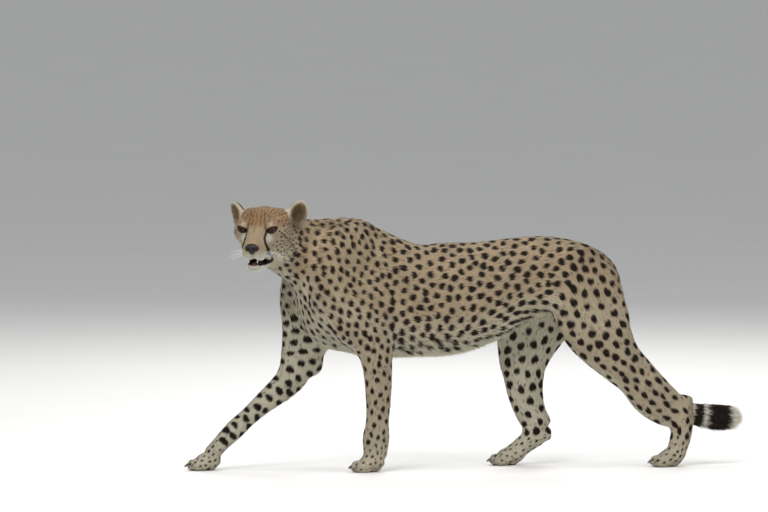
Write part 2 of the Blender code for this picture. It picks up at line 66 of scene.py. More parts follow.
# each leg: side (-1 its left), chains of x, y out from the midline, z, half fore-and-aft and half across,
# and the middle of its paw
legs = {
    "foreleg_left": {"side": -1,
        "limb": [(-.318, .046, .662, .045, .018), (-.350, .064, .602, .066, .028),
                 (-.384, .080, .540, .062, .035), (-.374, .084, .490, .068, .037),
                 (-.330, .086, .440, .072, .038), (-.272, .085, .365, .056, .0345),
                 (-.2545, .082, .300, .043, .031), (-.2505, .079, .215, .0365, .0265),
                 (-.2525, .077, .145, .0325, .0235), (-.2565, .076, .095, .0375, .0265),
                 (-.258, .075, .050, .033, .026)],
        "paw": (-.270, .075)},
    "foreleg_right": {"side": 1,
        "limb": [(-.338, .046, .662, .045, .018), (-.380, .064, .602, .066, .028),
                 (-.426, .080, .540, .060, .035), (-.438, .084, .480, .060, .036),
                 (-.431, .086, .405, .060, .038), (-.437, .087, .328, .056, .036),
                 (-.467, .086, .252, .043, .031), (-.545, .084, .184, .0300, .0255),
                 (-.590, .081, .146, .0258, .0230), (-.630, .079, .110, .0272, .0255),
                 (-.662, .078, .079, .0235, .0245), (-.692, .077, .048, .0225, .0250)],
        "paw": (-.706, .077)},
    "hindleg_left": {"side": -1,
        "limb": [(.335, .038, .596, .050, .018), (.340, .062, .530, .090, .036),
                 (.350, .070, .465, .103, .043), (.372, .080, .400, .100, .046),
                 (.399, .088, .350, .083, .045), (.437, .090, .302, .066, .041),
                 (.486, .086, .2545, .058, .034), (.531, .080, .2025, .060, .030),
                 (.576, .076, .167, .054, .027), (.613, .073, .150, .042, .0235)],
        "heel": [(.633, .072, .190, .018, .017), (.6235, .072, .140, .031, .0235),
                 (.6175, .071, .085, .030, .0225), (.606, .070, .042, .027, .024)],
        "paw": (.588, .070)},
    "hindleg_right": {"side": 1,
        "limb": [(.318, .038, .596, .050, .018), (.292, .060, .530, .094, .036),
                 (.258, .072, .455, .104, .043), (.220, .086, .372, .097, .046),
                 (.203, .090, .300, .074, .044), (.202, .088, .250, .059, .038),
                 (.206, .083, .200, .051, .031), (.219, .078, .150, .044, .026),
                 (.240, .075, .110, .040, .0245)],
        "heel": [(.268, .074, .086, .019, .018), (.238, .074, .0835, .031, .0235),
                 (.200, .073, .057, .0275, .0225), (.174, .072, .036, .026, .024)],
        "paw": (.157, .072)},
}

# single muscles and bones: centre, half sizes (fore-and-aft, across, up), how softly they join
bulges = [((-.398, 0, .464), (.058, .078, .084), .040),           # brisket
          ((-.283, -.078, .455), (.066, .034, .090), .035),       # triceps, left
          ((-.392, .078, .400), (.042, .034, .083), .035),        # triceps, right
          ((-.300, -.030, .672), (.044, .018, .022), .030),       # shoulder blade tops
          ((-.325, .030, .672), (.044, .018, .022), .030),
          ((-.402, .084, .296), (.027, .024, .035), .020),        # point of the right elbow
          ((.322, -.050, .594), (.050, .030, .028), .040),        # hips
          ((.305, .050, .594), (.050, .030, .028), .040)]

# head, in forward, left, up from the midpoint of the eyes: centre, half sizes, softness, tilt in degrees;
# the pairs are the same on both sides
skull = [((-.064, 0, -.002), (.066, .059, .057), .030, 0),         # braincase
         ((-.024, 0, .013), (.040, .050, .034), .030, 22),        # forehead
         ((-.074, 0, -.046), (.058, .050, .050), .030, 0),        # throat
         ((-.012, 0, -.048), (.044, .032, .034), .020, 0)]        # palate
skullPairs = [((-.030, .048, -.010), (.042, .030, .033), .024, 0),   # cheekbone
              ((-.048, .036, -.056), (.038, .024, .036), .025, 0),   # jaw muscle
              ((.002, .026, -.044), (.037, .020, .031), .018, 20),   # face between cheek and muzzle
              ((.037, .0160, -.0615), (.031, .0185, .0220), .012, 0),  # whisker pad
              ((-.008, .036, .0165), (.018, .022, .0105), .016, -12),  # brow
              ((-.074, .046, .018), (.034, .026, .030), .020, 0)]  # temple
# nose bridge and jaw: forward, left, up, half height, half width; the others: centre, half sizes, softness
noseBridge = [(-.020, 0, -.002, .028, .030), (.012, 0, -.010, .027, .0235), (.040, 0, -.031, .0225, .0205),
              (.056, 0, -.041, .017, .0185)]
nosePad = ((.060, 0, -.0435), (.0125, .0200, .0135), .006)
jawBone = [(-.045, 0, -.076, .028, .036), (-.005, 0, -.094, .020, .031), (.024, 0, -.1025, .0145, .0265),
           (.038, 0, -.1020, .0135, .0220)]
mouthGap = ((.048, 0, -.0882), (.044, .036, .0042), .003)
eyeHollow = ((.017, .041, 0), (.011, .0145, .0100), .006)
earShape = {"half": (.016, .0300, .0435), "cup": (.017, .0225, .031), "base": (.019, .0290, .0240)}
# each ear in forward, outward, up: where it springs from, the way it stands and the way it faces
ears = {1: {"root": (-.094, .078, .015), "lean": (-.10, .36, .90), "face": (.82, .57, 0)},
        -1: {"root": (-.094, .078, .011), "lean": (-.12, .48, .84), "face": (.68, .73, 0)}}


def unit(v):
    # the same direction, one long
    v = np.asarray(v, float)
    return v / np.linalg.norm(v)


def smoothCurve(rows, per=5):
    # Catmull-Rom curve through every row, each span split in `per`
    p = np.asarray(rows, float)
    p = np.vstack([2 * p[0] - p[1], p, 2 * p[-1] - p[-2]])
    t = np.arange(per)[:, None] / per
    out = [0.5 * (2 * b + (c - a) * t + (2 * a - 5 * b + 4 * c - d) * t**2 + (3 * b - a - 3 * c + d) * t**3)
           for a, b, c, d in zip(p[:-3], p[1:-2], p[2:-1], p[3:])]
    return np.vstack(out + [p[-2][None]])


def spread(low, high, coarse, fineLow, fineHigh, fine):
    # grid lines along one axis, close together between fineLow and fineHigh
    a = np.linspace(low, fineLow, int(math.ceil((fineLow - low) / coarse)) + 1)
    b = np.linspace(fineLow, fineHigh, int(math.ceil((fineHigh - fineLow) / fine)) + 1)
    c = np.linspace(fineHigh, high, max(int(math.ceil((high - fineHigh) / coarse)), 1) + 1)
    return np.concatenate([a[:-1], b, c[1:]])


def ellipsoidDistance(u, v, w, a, b, c):
    # distance along the ray from the centre to the skin of an ellipsoid
    r = np.sqrt(u * u + v * v + w * w) + 1e-9
    return r * (1 - 1 / (np.sqrt((u / a) ** 2 + (v / b) ** 2 + (w / c) ** 2) + 1e-9))


class Field:
    # distance to the body at every point of a grid, negative inside
    def __init__(self, axes):
        # starts one metre away everywhere
        self.axes = [np.asarray(a, np.float32) for a in axes]
        self.d = np.full([len(a) for a in self.axes], 1.0, np.float32)

    def window(self, low, high):
        # the part of the grid between two corners
        return tuple(slice(max(int(np.searchsorted(a, l)) - 1, 0), int(np.searchsorted(a, h)) + 1)
                     for a, l, h in zip(self.axes, low, high))

    def places(self, w, at):
        # grid lines of that part, measured from a centre
        x, y, z = (a[s] - np.float32(c) for a, s, c in zip(self.axes, w, at))
        return x[:, None, None], y[None, :, None], z[None, None, :]

    def join(self, w, d, soft, carve=False):
        # soft minimum of two distances; carving is the soft maximum with the other one's inside
        sign = -1.0 if carve else 1.0
        a = self.d[w] * sign
        h = np.clip(0.5 + 0.5 * (a - d) / soft, 0, 1)
        self.d[w] = sign * (a + (d - a) * h - soft * h * (1 - h))

    def blob(self, centre, half, soft, turn=None, carve=False):
        # joins or carves one ellipsoid, its axes along the rows of `turn`
        turn = np.eye(3) if turn is None else turn
        half = np.asarray(half, float)
        reach = np.abs(turn.T) @ half + soft + 0.015
        w = self.window(np.subtract(centre, reach), np.add(centre, reach))
        x, y, z = self.places(w, centre)
        u, v, q = (x * r[0] + y * r[1] + z * r[2] for r in turn)
        self.join(w, ellipsoidDistance(u, v, q, *half).astype(np.float32), soft, carve)

    def tube(self, rows, soft, side=(0, 1, 0), cap=0.6, pear=0.0):
        # ellipses swept along a curve: half sizes across `side` and along it; pear narrows the underside
        s = smoothCurve(rows)
        points, half = s[:, :3], s[:, 3:5]
        margin = soft + 0.015
        big = half.max() + margin
        whole = self.window(points.min(0) - big, points.max(0) + big)
        own = np.full(self.d[whole].shape, 1.0, np.float32)
        side = unit(side)
        for p0, p1, h0, h1 in zip(points[:-1], points[1:], half[:-1], half[1:]):
            t = p1 - p0
            length = np.linalg.norm(t)
            t = t / length
            b = unit(side - t * (side @ t))
            n = np.cross(b, t)
            r = max(h0.max(), h1.max()) + margin
            w = self.window(np.maximum(np.minimum(p0, p1) - r, points.min(0) - big),
                            np.minimum(np.maximum(p0, p1) + r, points.max(0) + big))
            w = tuple(slice(max(i.start, j.start), min(i.stop, j.stop)) for i, j in zip(w, whole))
            x, y, z = self.places(w, p0)
            along = x * t[0] + y * t[1] + z * t[2]
            k = np.clip(along / length, 0, 1)
            u = x * n[0] + y * n[1] + z * n[2]
            v = x * b[0] + y * b[1] + z * b[2]
            a = h0[0] + (h1[0] - h0[0]) * k
            c = h0[1] + (h1[1] - h0[1]) * k
            v = v / (1 + pear * np.clip(u / a, -1, 1))
            d = ellipsoidDistance(u, v, along - k * length, a, c, np.minimum(a, c) * cap).astype(np.float32)
            inner = tuple(slice(i.start - j.start, i.stop - j.start) for i, j in zip(w, whole))
            own[inner] = np.minimum(own[inner], d)
        self.join(whole, own, soft)


def frameOf(forward, up=(0, 0, 1)):
    # rows forward, left, up of a turned frame
    f = unit(forward)
    left = unit(np.cross(up, f))
    return np.stack([f, left, np.cross(f, left)])


def headFrame():
    # the frame whose forward axis has the head's yaw and pitch
    yaw, pitch = np.radians(head["yaw"]), np.radians(head["pitch"])
    return frameOf((-np.cos(yaw) * np.cos(pitch), -np.sin(yaw) * np.cos(pitch), np.sin(pitch)))


def onHead(f, l, u):
    # the place forward, left and up from the midpoint of the eyes
    return np.asarray(head["at"]) + headFrame().T @ np.array([f, l, u], float)


def tilted(turn, degrees):
    # the same frame with its forward axis raised
    c, s = math.cos(math.radians(degrees)), math.sin(math.radians(degrees))
    return np.stack([turn[0] * c + turn[2] * s, turn[1], turn[2] * c - turn[0] * s])


def earFrame(side):
    # root of one ear, and rows: the way it faces, across, along it
    e = ears[side]
    f, l, u = e["root"]
    turn = headFrame()
    up = unit(turn.T @ (np.array([1, side, 1]) * e["lean"]))
    face = turn.T @ (np.array([1, side, 1]) * e["face"])
    face = unit(face - up * (face @ up))
    return onHead(f, side * l, u), np.stack([face, np.cross(up, face), up])


def buildHead(field):
    # skull, bridge, nose and jaw joined, mouth and eye hollows carved, then the two ears and their cups
    turn = headFrame()
    for centre, half, soft, tilt in skull:
        field.blob(onHead(*centre), half, soft, tilted(turn, tilt))
    for side in (1, -1):
        for (f, l, u), half, soft, tilt in skullPairs:
            field.blob(onHead(f, side * l, u), half, soft, tilted(turn, tilt))
    field.tube([(*onHead(*r[:3]), *r[3:]) for r in noseBridge], .016, turn[1])
    field.blob(onHead(*nosePad[0]), nosePad[1], nosePad[2], turn)
    field.tube([(*onHead(*r[:3]), *r[3:]) for r in jawBone], .012, turn[1])
    field.blob(onHead(*mouthGap[0]), mouthGap[1], mouthGap[2], turn, carve=True)
    for side in (1, -1):
        (f, l, u), half, soft = eyeHollow
        field.blob(onHead(f, side * l, u), half, soft, turn, carve=True)
        root, ear = earFrame(side)
        face, _, up = ear
        field.blob(root - up * .004, earShape["base"], .016, ear)
        field.blob(root + up * .012, earShape["half"], .012, ear)
        field.blob(root + up * .025 + face * .018, earShape["cup"], .004, ear, carve=True)


def buildPaw(field, x, y):
    # a round paw on the floor, four toes at its front
    field.blob((x + .002, y, .0265), (.036, .0285, .0235), .014)
    field.blob((x + .004, y, .0125), (.022, .0200, .0160), .006)
    for out, ahead in ((-.0215, .024), (-.0075, .034), (.0075, .034), (.0215, .024)):
        field.blob((x - ahead, y + out, .0150), (.023, .0102, .0180), .005)


def buildBody(field):
    # trunk, neck and limbs as swept ellipses, single muscles as ellipsoids, then tail and head
    field.tube([(x, 0, (t + b) / 2, (t - b) / 2, w) for x, t, b, w in trunkRows], .001, pear=.13, cap=.5)
    field.tube(neckRows, .05)
    for leg in legs.values():
        for part, soft in (("limb", .040), ("heel", .020)):
            if part in leg:
                field.tube([(x, leg["side"] * y, z, a, b) for x, y, z, a, b in leg[part]], soft)
        buildPaw(field, leg["paw"][0], leg["side"] * leg["paw"][1])
    for centre, half, soft in bulges:
        field.blob(centre, half, soft)
    field.tube(tailRows, .018, cap=1.0)
    buildHead(field)


def untangled(d):
    # where four neighbouring grid points are inside and outside crosswise, take one more inside,
    # so that no sheet touches another
    for _ in range(12):
        changed = 0
        for a, b in ((0, 1), (1, 2), (0, 2)):
            low, high = slice(0, -1), slice(1, None)
            corner = []
            for i, j in ((low, low), (high, high), (high, low), (low, high)):
                pick = [slice(None)] * 3
                pick[a], pick[b] = i, j
                corner.append(d[tuple(pick)])
            inside = [c < 0 for c in corner]
            for p, q, r, s in ((0, 1, 2, 3), (2, 3, 0, 1)):
                crossed = inside[p] & inside[q] & ~inside[r] & ~inside[s]
                changed += int(crossed.sum())
                corner[r][crossed] = -.0003
                inside[r] = corner[r] < 0
        if not changed:
            break
    return d


def surfaceNet(d, axes):
    # one point in each cell the skin passes through, one quad across each grid edge it crosses
    inside = d < 0
    size = np.array(d.shape)
    corners = np.array([[i, j, k] for i in (0, 1) for j in (0, 1) for k in (0, 1)])
    edges = [(a, b) for a in range(8) for b in range(a + 1, 8)
             if np.abs(corners[a] - corners[b]).sum() == 1]
    some = np.zeros(size - 1, bool)
    every = np.ones(size - 1, bool)
    for i, j, k in corners:
        part = inside[i:size[0] - 1 + i, j:size[1] - 1 + j, k:size[2] - 1 + k]
        some |= part
        every &= part
    cells = np.argwhere(some & ~every)
    values = np.stack([d[tuple((cells + c).T)] for c in corners], 1).astype(float)
    places = np.stack([np.stack([np.asarray(axes[k], float)[cells[:, k] + c[k]] for k in range(3)], 1)
                       for c in corners], 1)
    total = np.zeros((len(cells), 3))
    count = np.zeros(len(cells))
    for a, b in edges:
        crossed = (values[:, a] < 0) != (values[:, b] < 0)
        t = np.where(crossed, values[:, a] / np.where(crossed, values[:, a] - values[:, b], 1), 0)[:, None]
        total += (places[:, a] + (places[:, b] - places[:, a]) * t) * crossed[:, None]
        count += crossed
    points = total / count[:, None]
    index = np.full(size - 1, -1, np.int32)
    index[tuple(cells.T)] = np.arange(len(cells))
    quads = []
    for axis, (o1, o2) in enumerate([(1, 2), (2, 0), (0, 1)]):
        low, high = [slice(None)] * 3, [slice(None)] * 3
        low[axis], high[axis] = slice(0, size[axis] - 1), slice(1, size[axis])
        e = np.argwhere(inside[tuple(low)] != inside[tuple(high)])
        e = e[(e[:, o1] > 0) & (e[:, o2] > 0) & (e[:, o1] < size[o1] - 1) & (e[:, o2] < size[o2] - 1)]
        ring = []
        for d1, d2 in ((-1, -1), (0, -1), (0, 0), (-1, 0)):
            q = e.copy()
            q[:, o1] += d1
            q[:, o2] += d2
            ring.append(index[tuple(q.T)])
        quad = np.stack(ring, 1)
        quad[~inside[tuple(e.T)]] = quad[~inside[tuple(e.T)]][:, ::-1]
        quads.append(quad)
    return points, np.vstack(quads)


def smooth(x, low, high):
    # 0 below low, 1 above high, an even S between
    t = np.clip((np.asarray(x, float) - low) / (high - low), 0, 1)
    return t * t * (3 - 2 * t)


def bell(x, middle, width):
    # 1 at the middle, falling off on both sides
    return np.exp(-((np.asarray(x, float) - middle) / width) ** 2)


def unitRows(v):
    # every row one long
    return v / np.maximum(np.linalg.norm(v, axis=1, keepdims=True), 1e-12)


eyeLow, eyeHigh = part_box("eye_left")
shift = onHead(0, head["eye"], 0) - (np.array(eyeLow) + np.array(eyeHigh)) / 2
print("shift", shift.round(5))


# camera and lights: each light is its place, its size across and its power
camera = {"azimuth": -12.0, "elevation": 4.0, "distance": 40.0, "sensor": 36.0, "lens": 669.7,
          "across": -.2128, "up": .5936}
lights = {"key": ((-2.6, -3.4, 4.2), 3.0, 165), "fill": ((3.4, -3.6, 2.6), 3.4, 66),
          "back": ((1.2, 3.6, 3.4), 3.0, 100),
          "top": ((0, -.4, 4.6), 3.6, 105)}
studio = {"floorHalf": 160.0, "floor": (.80, .79, .77, 1), "mottle": (.76, .75, .73, 1),
          "sky": (.86, .88, .90, 1), "skyStrength": .50}


def placeCamera():
    # looks level-ish at the left side; the aim point is given across and up in the picture plane
    a, e = math.radians(camera["azimuth"]), math.radians(camera["elevation"])
    right = np.array([math.cos(a), math.sin(a), 0])
    back = np.array([math.sin(a) * math.cos(e), -math.cos(a) * math.cos(e), math.sin(e)])
    up = np.cross(back, right)
    aim = right * camera["across"] + up * camera["up"] - shift
    data = bpy.data.cameras.new("camera")
    data.sensor_width = camera["sensor"]
    data.lens = camera["lens"]
    data.clip_end = 400
    thing = bpy.data.objects.new("camera", data)
    bpy.context.scene.collection.objects.link(thing)
    thing.location = aim + back * camera["distance"]
    thing.rotation_mode = "QUATERNION"
    thing.rotation_quaternion = Vector(-back).to_track_quat("-Z", "Y")
    bpy.context.scene.camera = thing


def placeLights():
    # round lamps that face the middle of the figure, and a pale even sky
    for name, (at, size, power) in lights.items():
        data = bpy.data.lights.new(name, "AREA")
        data.shape = "DISK"
        data.size = size
        data.energy = power
        lamp = bpy.data.objects.new(name, data)
        bpy.context.scene.collection.objects.link(lamp)
        lamp.location = at
        lamp.rotation_mode = "QUATERNION"
        lamp.rotation_quaternion = (Vector((0, 0, .4)) - Vector(at)).to_track_quat("-Z", "Y")
    world = bpy.data.worlds.new("studio")
    world.use_nodes = True
    world.node_tree.nodes["Background"].inputs["Color"].default_value = studio["sky"]
    world.node_tree.nodes["Background"].inputs["Strength"].default_value = studio["skyStrength"]
    bpy.context.scene.world = world
    bpy.context.scene.view_settings.view_transform = "Standard"


class Paint:
    # writes one material's nodes: each call adds a node and gives back its output

    def __init__(self, name, **sockets):
        # sockets are plain values on the shader, their names with _ for each blank
        self.material = bpy.data.materials.new(name)
        self.material.use_nodes = True
        self.tree = self.material.node_tree
        self.shader = self.tree.nodes["Principled BSDF"]
        for key, value in sockets.items():
            self.shader.inputs[key.replace("_", " ")].default_value = value

    def set(self, socket, value):
        # links an output, or writes a plain value
        if isinstance(value, bpy.types.NodeSocket):
            self.tree.links.new(value, socket)
        else:
            socket.default_value = value

    def node(self, kind, out=0, inputs=(), **settings):
        # one node of a kind, with its settings and what goes into it
        n = self.tree.nodes.new("ShaderNode" + kind)
        for key, value in settings.items():
            setattr(n, key, value)
        for key, value in dict(inputs).items():
            self.set(n.inputs[key], value)
        return n.outputs[out]

    def attribute(self, name):
        # a named number that the mesh carries at its points
        return self.node("Attribute", "Fac", attribute_name=name)

    def math(self, operation, a, b=0.0):
        # two values worked into one
        return self.node("Math", 0, {0: a, 1: b}, operation=operation)

    def mix(self, a, b, share, blend="MIX"):
        # colour a goes over to colour b by the share
        return self.node("Mix", 2, {0: share, 6: a, 7: b}, data_type="RGBA", blend_type=blend)

    def noise(self, scale, detail=3):
        # cloudy noise on the piece's own place, 0 to 1
        where = self.node("TexCoord", "Object")
        return self.node("TexNoise", "Fac",
                         {"Vector": where, "Scale": scale, "Detail": detail, "Roughness": .5})

    def grey(self, value):
        # one value as a grey colour
        return self.node("CombineColor", 0, {0: value, 1: value, 2: value})

    def ramp(self, value, low, high, to=(0.0, 1.0)):
        # a value between low and high taken evenly to the two ends of `to`
        return self.node("MapRange", 0, {0: value, 1: low, 2: high, 3: to[0], 4: to[1]})

    def bump(self, height, strength, distance):
        # a height turned into small unevenness of the surface
        normal = self.node("Bump", 0, {"Height": height, "Strength": strength, "Distance": distance})
        self.set(self.shader.inputs["Normal"], normal)

    def colour(self, value):
        # sets the base colour and gives back the finished material
        self.set(self.shader.inputs["Base Color"], value)
        return self.material


def makeFloor():
    # one flat square, faintly mottled
    h = studio["floorHalf"]
    mesh = bpy.data.meshes.new("floor")
    mesh.from_pydata([(-h, -h, 0), (h, -h, 0), (h, h, 0), (-h, h, 0)], [], [(0, 1, 2, 3)])
    floor = bpy.data.objects.new("floor", mesh)
    bpy.context.scene.collection.objects.link(floor)
    p = Paint("floor", Roughness=.75)
    mesh.materials.append(p.colour(p.mix(studio["floor"], studio["mottle"], p.noise(3.0))))


placeCamera()
placeLights()
makeFloor()
print("camera, lights and floor")


# colours of the coat, how grainy it is and how deep the bare skin's bumps are
coatColours = {"tawny": (.42, .315, .195, 1), "rust": (.265, .148, .060, 1), "cream": (.64, .585, .44, 1),
               "white": (.72, .70, .61, 1), "ink": (.010, .006, .004, 1), "freckle": (.10, .046, .020, 1),
               "grain": .16, "bumpDepth": .0012}
# how the hair takes the light
coatFeel = {"Roughness": .8, "Sheen_Weight": .03, "Sheen_Roughness": .5, "Sheen_Tint": (1, .93, .82, 1),
            "Specular_IOR_Level": .14, "Subsurface_Weight": .25, "Subsurface_Scale": .004,
            "Subsurface_Radius": (1, .84, .66)}


def coatFinish(name, bumped):
    # ground colour from tawny, cream, rust and white by the coat's marks, then brown freckles and black ink
    c = coatColours
    p = Paint(name, **coatFeel)
    ground = p.mix(c["tawny"], c["rust"], p.attribute("rust"))
    ground = p.mix(ground, c["cream"], p.attribute("pale"))
    ground = p.mix(ground, c["white"], p.attribute("white"))
    patch = p.ramp(p.noise(14.0, 4), .3, .7, (.90, 1.10))
    fine = p.ramp(p.noise(420.0, 2), .3, .7, (1 - c["grain"], 1 + c["grain"]))
    # random tone from cloudy patches, fine grain and each hair's own tone, times painted shade at the roots
    # of the hair and on the bare skin beneath
    light = p.math("MULTIPLY", p.math("MULTIPLY", patch, fine), p.attribute("toneAndRootShade"))
    ground = p.mix(ground, p.grey(light), 1.0, "MULTIPLY")
    ground = p.mix(ground, c["freckle"], p.attribute("freckle"))
    if bumped:
        p.bump(p.noise(900.0, 2), .6, c["bumpDepth"])
    return p.colour(p.mix(ground, c["ink"], p.attribute("ink")))


coat = coatFinish("coat", False)
hide = coatFinish("hide", True)


def chainTable():
    # samples of every axis: part number, place, the way the hair grows, radius, run along the axis
    rows = {"trunk": [[(x, 0, (t + b) / 2, (t - b) / 2, w) for x, t, b, w in trunkRows]],
            "neck": [neckRows[::-1]], "tail": [tailRows]}
    for key, leg in legs.items():
        side = leg["side"]
        chains = [[(x, side * y, z, a, b) for x, y, z, a, b in leg[part]] for part in ("limb", "heel")
                  if part in leg]
        px, py = leg["paw"]
        chains[-1].append((px - .030, side * py, .018, .024, .026))
        rows[key] = chains
    part, place, way, radius, run = [], [], [], [], []
    for number, chains in enumerate(rows.values()):
        for chain in chains:
            s = smoothCurve(chain, 6)
            step = np.diff(s[:, :3], axis=0)
            tangent = unitRows(np.vstack([step, step[-1:]]))
            part += [number] * len(s)
            place.append(s[:, :3])
            way.append(tangent)
            radius.append((s[:, 3] + s[:, 4]) / 2)
            run.append(np.concatenate([[0], np.cumsum(np.linalg.norm(step, axis=1))]))
    return (list(rows), np.array(part), np.vstack(place), np.vstack(way), np.concatenate(radius),
            np.concatenate(run))


partNames, chainPart, chainPlace, chainWay, chainRadius, chainRun = chainTable()
tailLength = chainRun[chainPart == partNames.index("tail")].max()
headTurn = headFrame()
blockSize = 20000  # points worked on at one time


def headPlace(points):
    # forward, left, up from the midpoint of the eyes
    return (points - np.asarray(head["at"])) @ headTurn.T


def earAway(e):
    # 1 on an ellipsoid round the ear, less inside it; e is a place in the ear's own axes
    return np.sqrt((e[:, 0] / .030) ** 2 + (e[:, 1] / .040) ** 2 + ((e[:, 2] - .016) / .050) ** 2)


def bodyPlace(points):
    # nearest axis by distance over radius: its part and the run along it; and the blended way of the hair
    part = np.zeros(len(points), int)
    run = np.zeros(len(points))
    way = np.zeros((len(points), 3))
    for start in range(0, len(points), blockSize):
        block = slice(start, start + blockSize)
        p = points[block]
        away = np.linalg.norm(p[:, None, :] - chainPlace[None], axis=2)
        q = away / chainRadius
        best = q.argmin(1)
        part[block] = chainPart[best]
        run[block] = chainRun[best] + np.einsum("ij,ij->i", p - chainPlace[best], chainWay[best])
        w = np.exp(-5 * (q - q.min(1, keepdims=True))) / (1 + q)
        way[block] = w @ chainWay
    return {"part": part, "run": run, "way": unitRows(way)}


def regions(points, normals):
    # everything that the coat's markings and lengths are worked out from
    r = bodyPlace(points)
    h = headPlace(points)
    x, y, z = points.T
    r["head"] = h
    skullAway = np.linalg.norm((h - (-.045, 0, -.03)) / (1.0, 1.0, 1.05), axis=1)
    muzzleAway = np.linalg.norm(h - (.025, 0, -.06), axis=1)
    r["isHead"] = np.maximum(smooth(skullAway, .118, .098), smooth(muzzleAway, .098, .084))
    ears = np.zeros(len(points))
    earUp = np.zeros((len(points), 3))
    for side in (1, -1):
        root, axes = earFrame(side)
        e = (points - root) @ axes.T
        inside = smooth(earAway(e), 1.15, .95) * smooth(e[:, 2], -.022, -.006)
        ears = np.maximum(ears, inside)
        earUp += inside[:, None] * axes[2]
        r["ear%+d" % side] = e
    r["isEar"] = ears
    r["isHead"] = np.maximum(r["isHead"], ears)
    r["isMuzzle"] = smooth(h[:, 0], -.010, .022) * smooth(h[:, 2], -.016, -.036) * r["isHead"]
    radial = unitRows(h - (.088, 0, -.050))
    radial = unitRows(radial + np.stack([-.45 * np.ones(len(points)), np.zeros(len(points)),
                                         -.25 * smooth(h[:, 2], -.01, -.05)], 1)) @ headTurn
    way = r["way"] * (1 - r["isHead"])[:, None] + radial * (r["isHead"] * (1 - ears))[:, None] + earUp
    low = smooth(normals[:, 2], -.2, -.9) * np.isin(r["part"], [0, 1]) * (1 - r["isHead"])
    way = way + low[:, None] * np.array([.3, 0, -.6])
    flat = way - normals * np.einsum("ij,ij->i", way, normals)[:, None]
    r["flow"] = unitRows(flat)
    side = np.zeros(len(points))
    for key, leg in legs.items():
        side[r["part"] == partNames.index(key)] = leg["side"]
    r["legSide"] = side
    r["isLeg"] = (side != 0) * 1.0
    r["inner"] = smooth(-normals[:, 1] * side, -.10, .45) * r["isLeg"] * smooth(z, .50, .40)
    top = np.interp(x, [q[0] for q in trunkRows], [q[1] for q in trunkRows])
    low = np.interp(x, [q[0] for q in trunkRows], [q[2] for q in trunkRows])
    r["height"] = np.clip((z - low) / (top - low), -.2, 1.1)
    beside = smooth(np.abs(y - .012), .06, .045)
    r["isTail"] = (r["part"] == partNames.index("tail")) * 1.0 * beside * (x > .40)
    r["fromTip"] = tailLength - r["run"]
    r["isPaw"] = smooth(z, .105, .060) * (1 - r["isTail"]) * (1 - r["isHead"])
    r["x"], r["y"], r["z"] = x, y, z
    return r


def lineAway(points, line):
    # shortest distance to a polyline, and how far along it that is, 0 to 1
    line = np.asarray(line, float)
    best = np.full(len(points), 9.0)
    along = np.zeros(len(points))
    for k, (a, b) in enumerate(zip(line[:-1], line[1:])):
        ab = b - a
        t = np.clip((points - a) @ ab / (ab @ ab), 0, 1)
        d = np.linalg.norm(points - a - t[:, None] * ab, axis=1)
        closer = d < best
        best = np.where(closer, d, best)
        along = np.where(closer, (k + t) / (len(line) - 1), along)
    return best, along


# the skin: grid steps, triangles kept, radius of the lids, the almond opening (half length, height above and
# below), how far the eyes look outwards and how far the openings slant, in degrees
skinShape = {"coarse": .0054, "fine": .0018, "triangles": 194000, "lid": .0206,
             "almond": (.0136, .0044, .0074), "gaze": 14, "slant": 17}
# the grid along X, Y and Z: its ends, and where its lines are close together round the head
skinGrid = [(-.80, .83, -.705, -.455), (-.24, .16, -.225, -.010), (-.02, .78, .560, .772)]
floorGap = {"skin": .0002, "hair": .0003}
nosePlace = np.array([.0605, 0, -.0445])
# cuts in the face, in the head's axes: centre, half sizes, softness
faceCuts = [((.047, 0, -.0898), (.049, .0395, .0060), .003),       # between the lips
            ((.010, 0, -.0885), (.045, .021, .0085), .004),       # mouth
            ((.0735, 0, -.0715), (.0090, .0014, .0125), .003)]    # groove under the nose


def eyeFrame(side):
    # rows: the way the eye looks, towards its outer corner, up; the outer corner is the higher
    g, s = math.radians(skinShape["gaze"]), math.radians(skinShape["slant"])
    look = headTurn[0] * math.cos(g) + side * headTurn[1] * math.sin(g)
    out = side * np.cross(headTurn[2], look)
    up = np.cross(look, out) * side
    return np.stack([look, out * math.cos(s) + up * math.sin(s), up * math.cos(s) - out * math.sin(s)])


def almondAway(u, v):
    # signed distance to the opening between the lids, which is where two discs overlap
    half, above, below = skinShape["almond"]
    top, bottom = (half ** 2 + above ** 2) / (2 * above), (half ** 2 + below ** 2) / (2 * below)
    return np.maximum(np.hypot(u, v + top - above) - top, np.hypot(u, v - bottom + below) - bottom)


def shapeFace(field):
    # lids over the eyeballs, the mouth, the groove under the nose and a bed for the nose pad
    for side in (1, -1):
        at = onHead(0, side * head["eye"], 0)
        axes = eyeFrame(side)
        field.blob(at - axes[0] * .0012, [skinShape["lid"]] * 3, .007)
        field.blob(at + axes[0] * .0130 + axes[2] * .0088, (.0062, .0150, .0036), .004, axes)
        w = field.window(at - .026, at + .026)
        x, y, z = field.places(w, at)
        a, u, v = (x * r[0] + y * r[1] + z * r[2] for r in axes)
        field.join(w, np.maximum(almondAway(u, v) + .0017, -a + .002).astype(np.float32), .0012, carve=True)
    field.blob(onHead(*nosePlace), nosePad[1] * np.array([.80, .84, .80]), .001, headTurn, carve=True)
    for at, half, soft in faceCuts:
        field.blob(onHead(*at), half, soft, headTurn, carve=True)


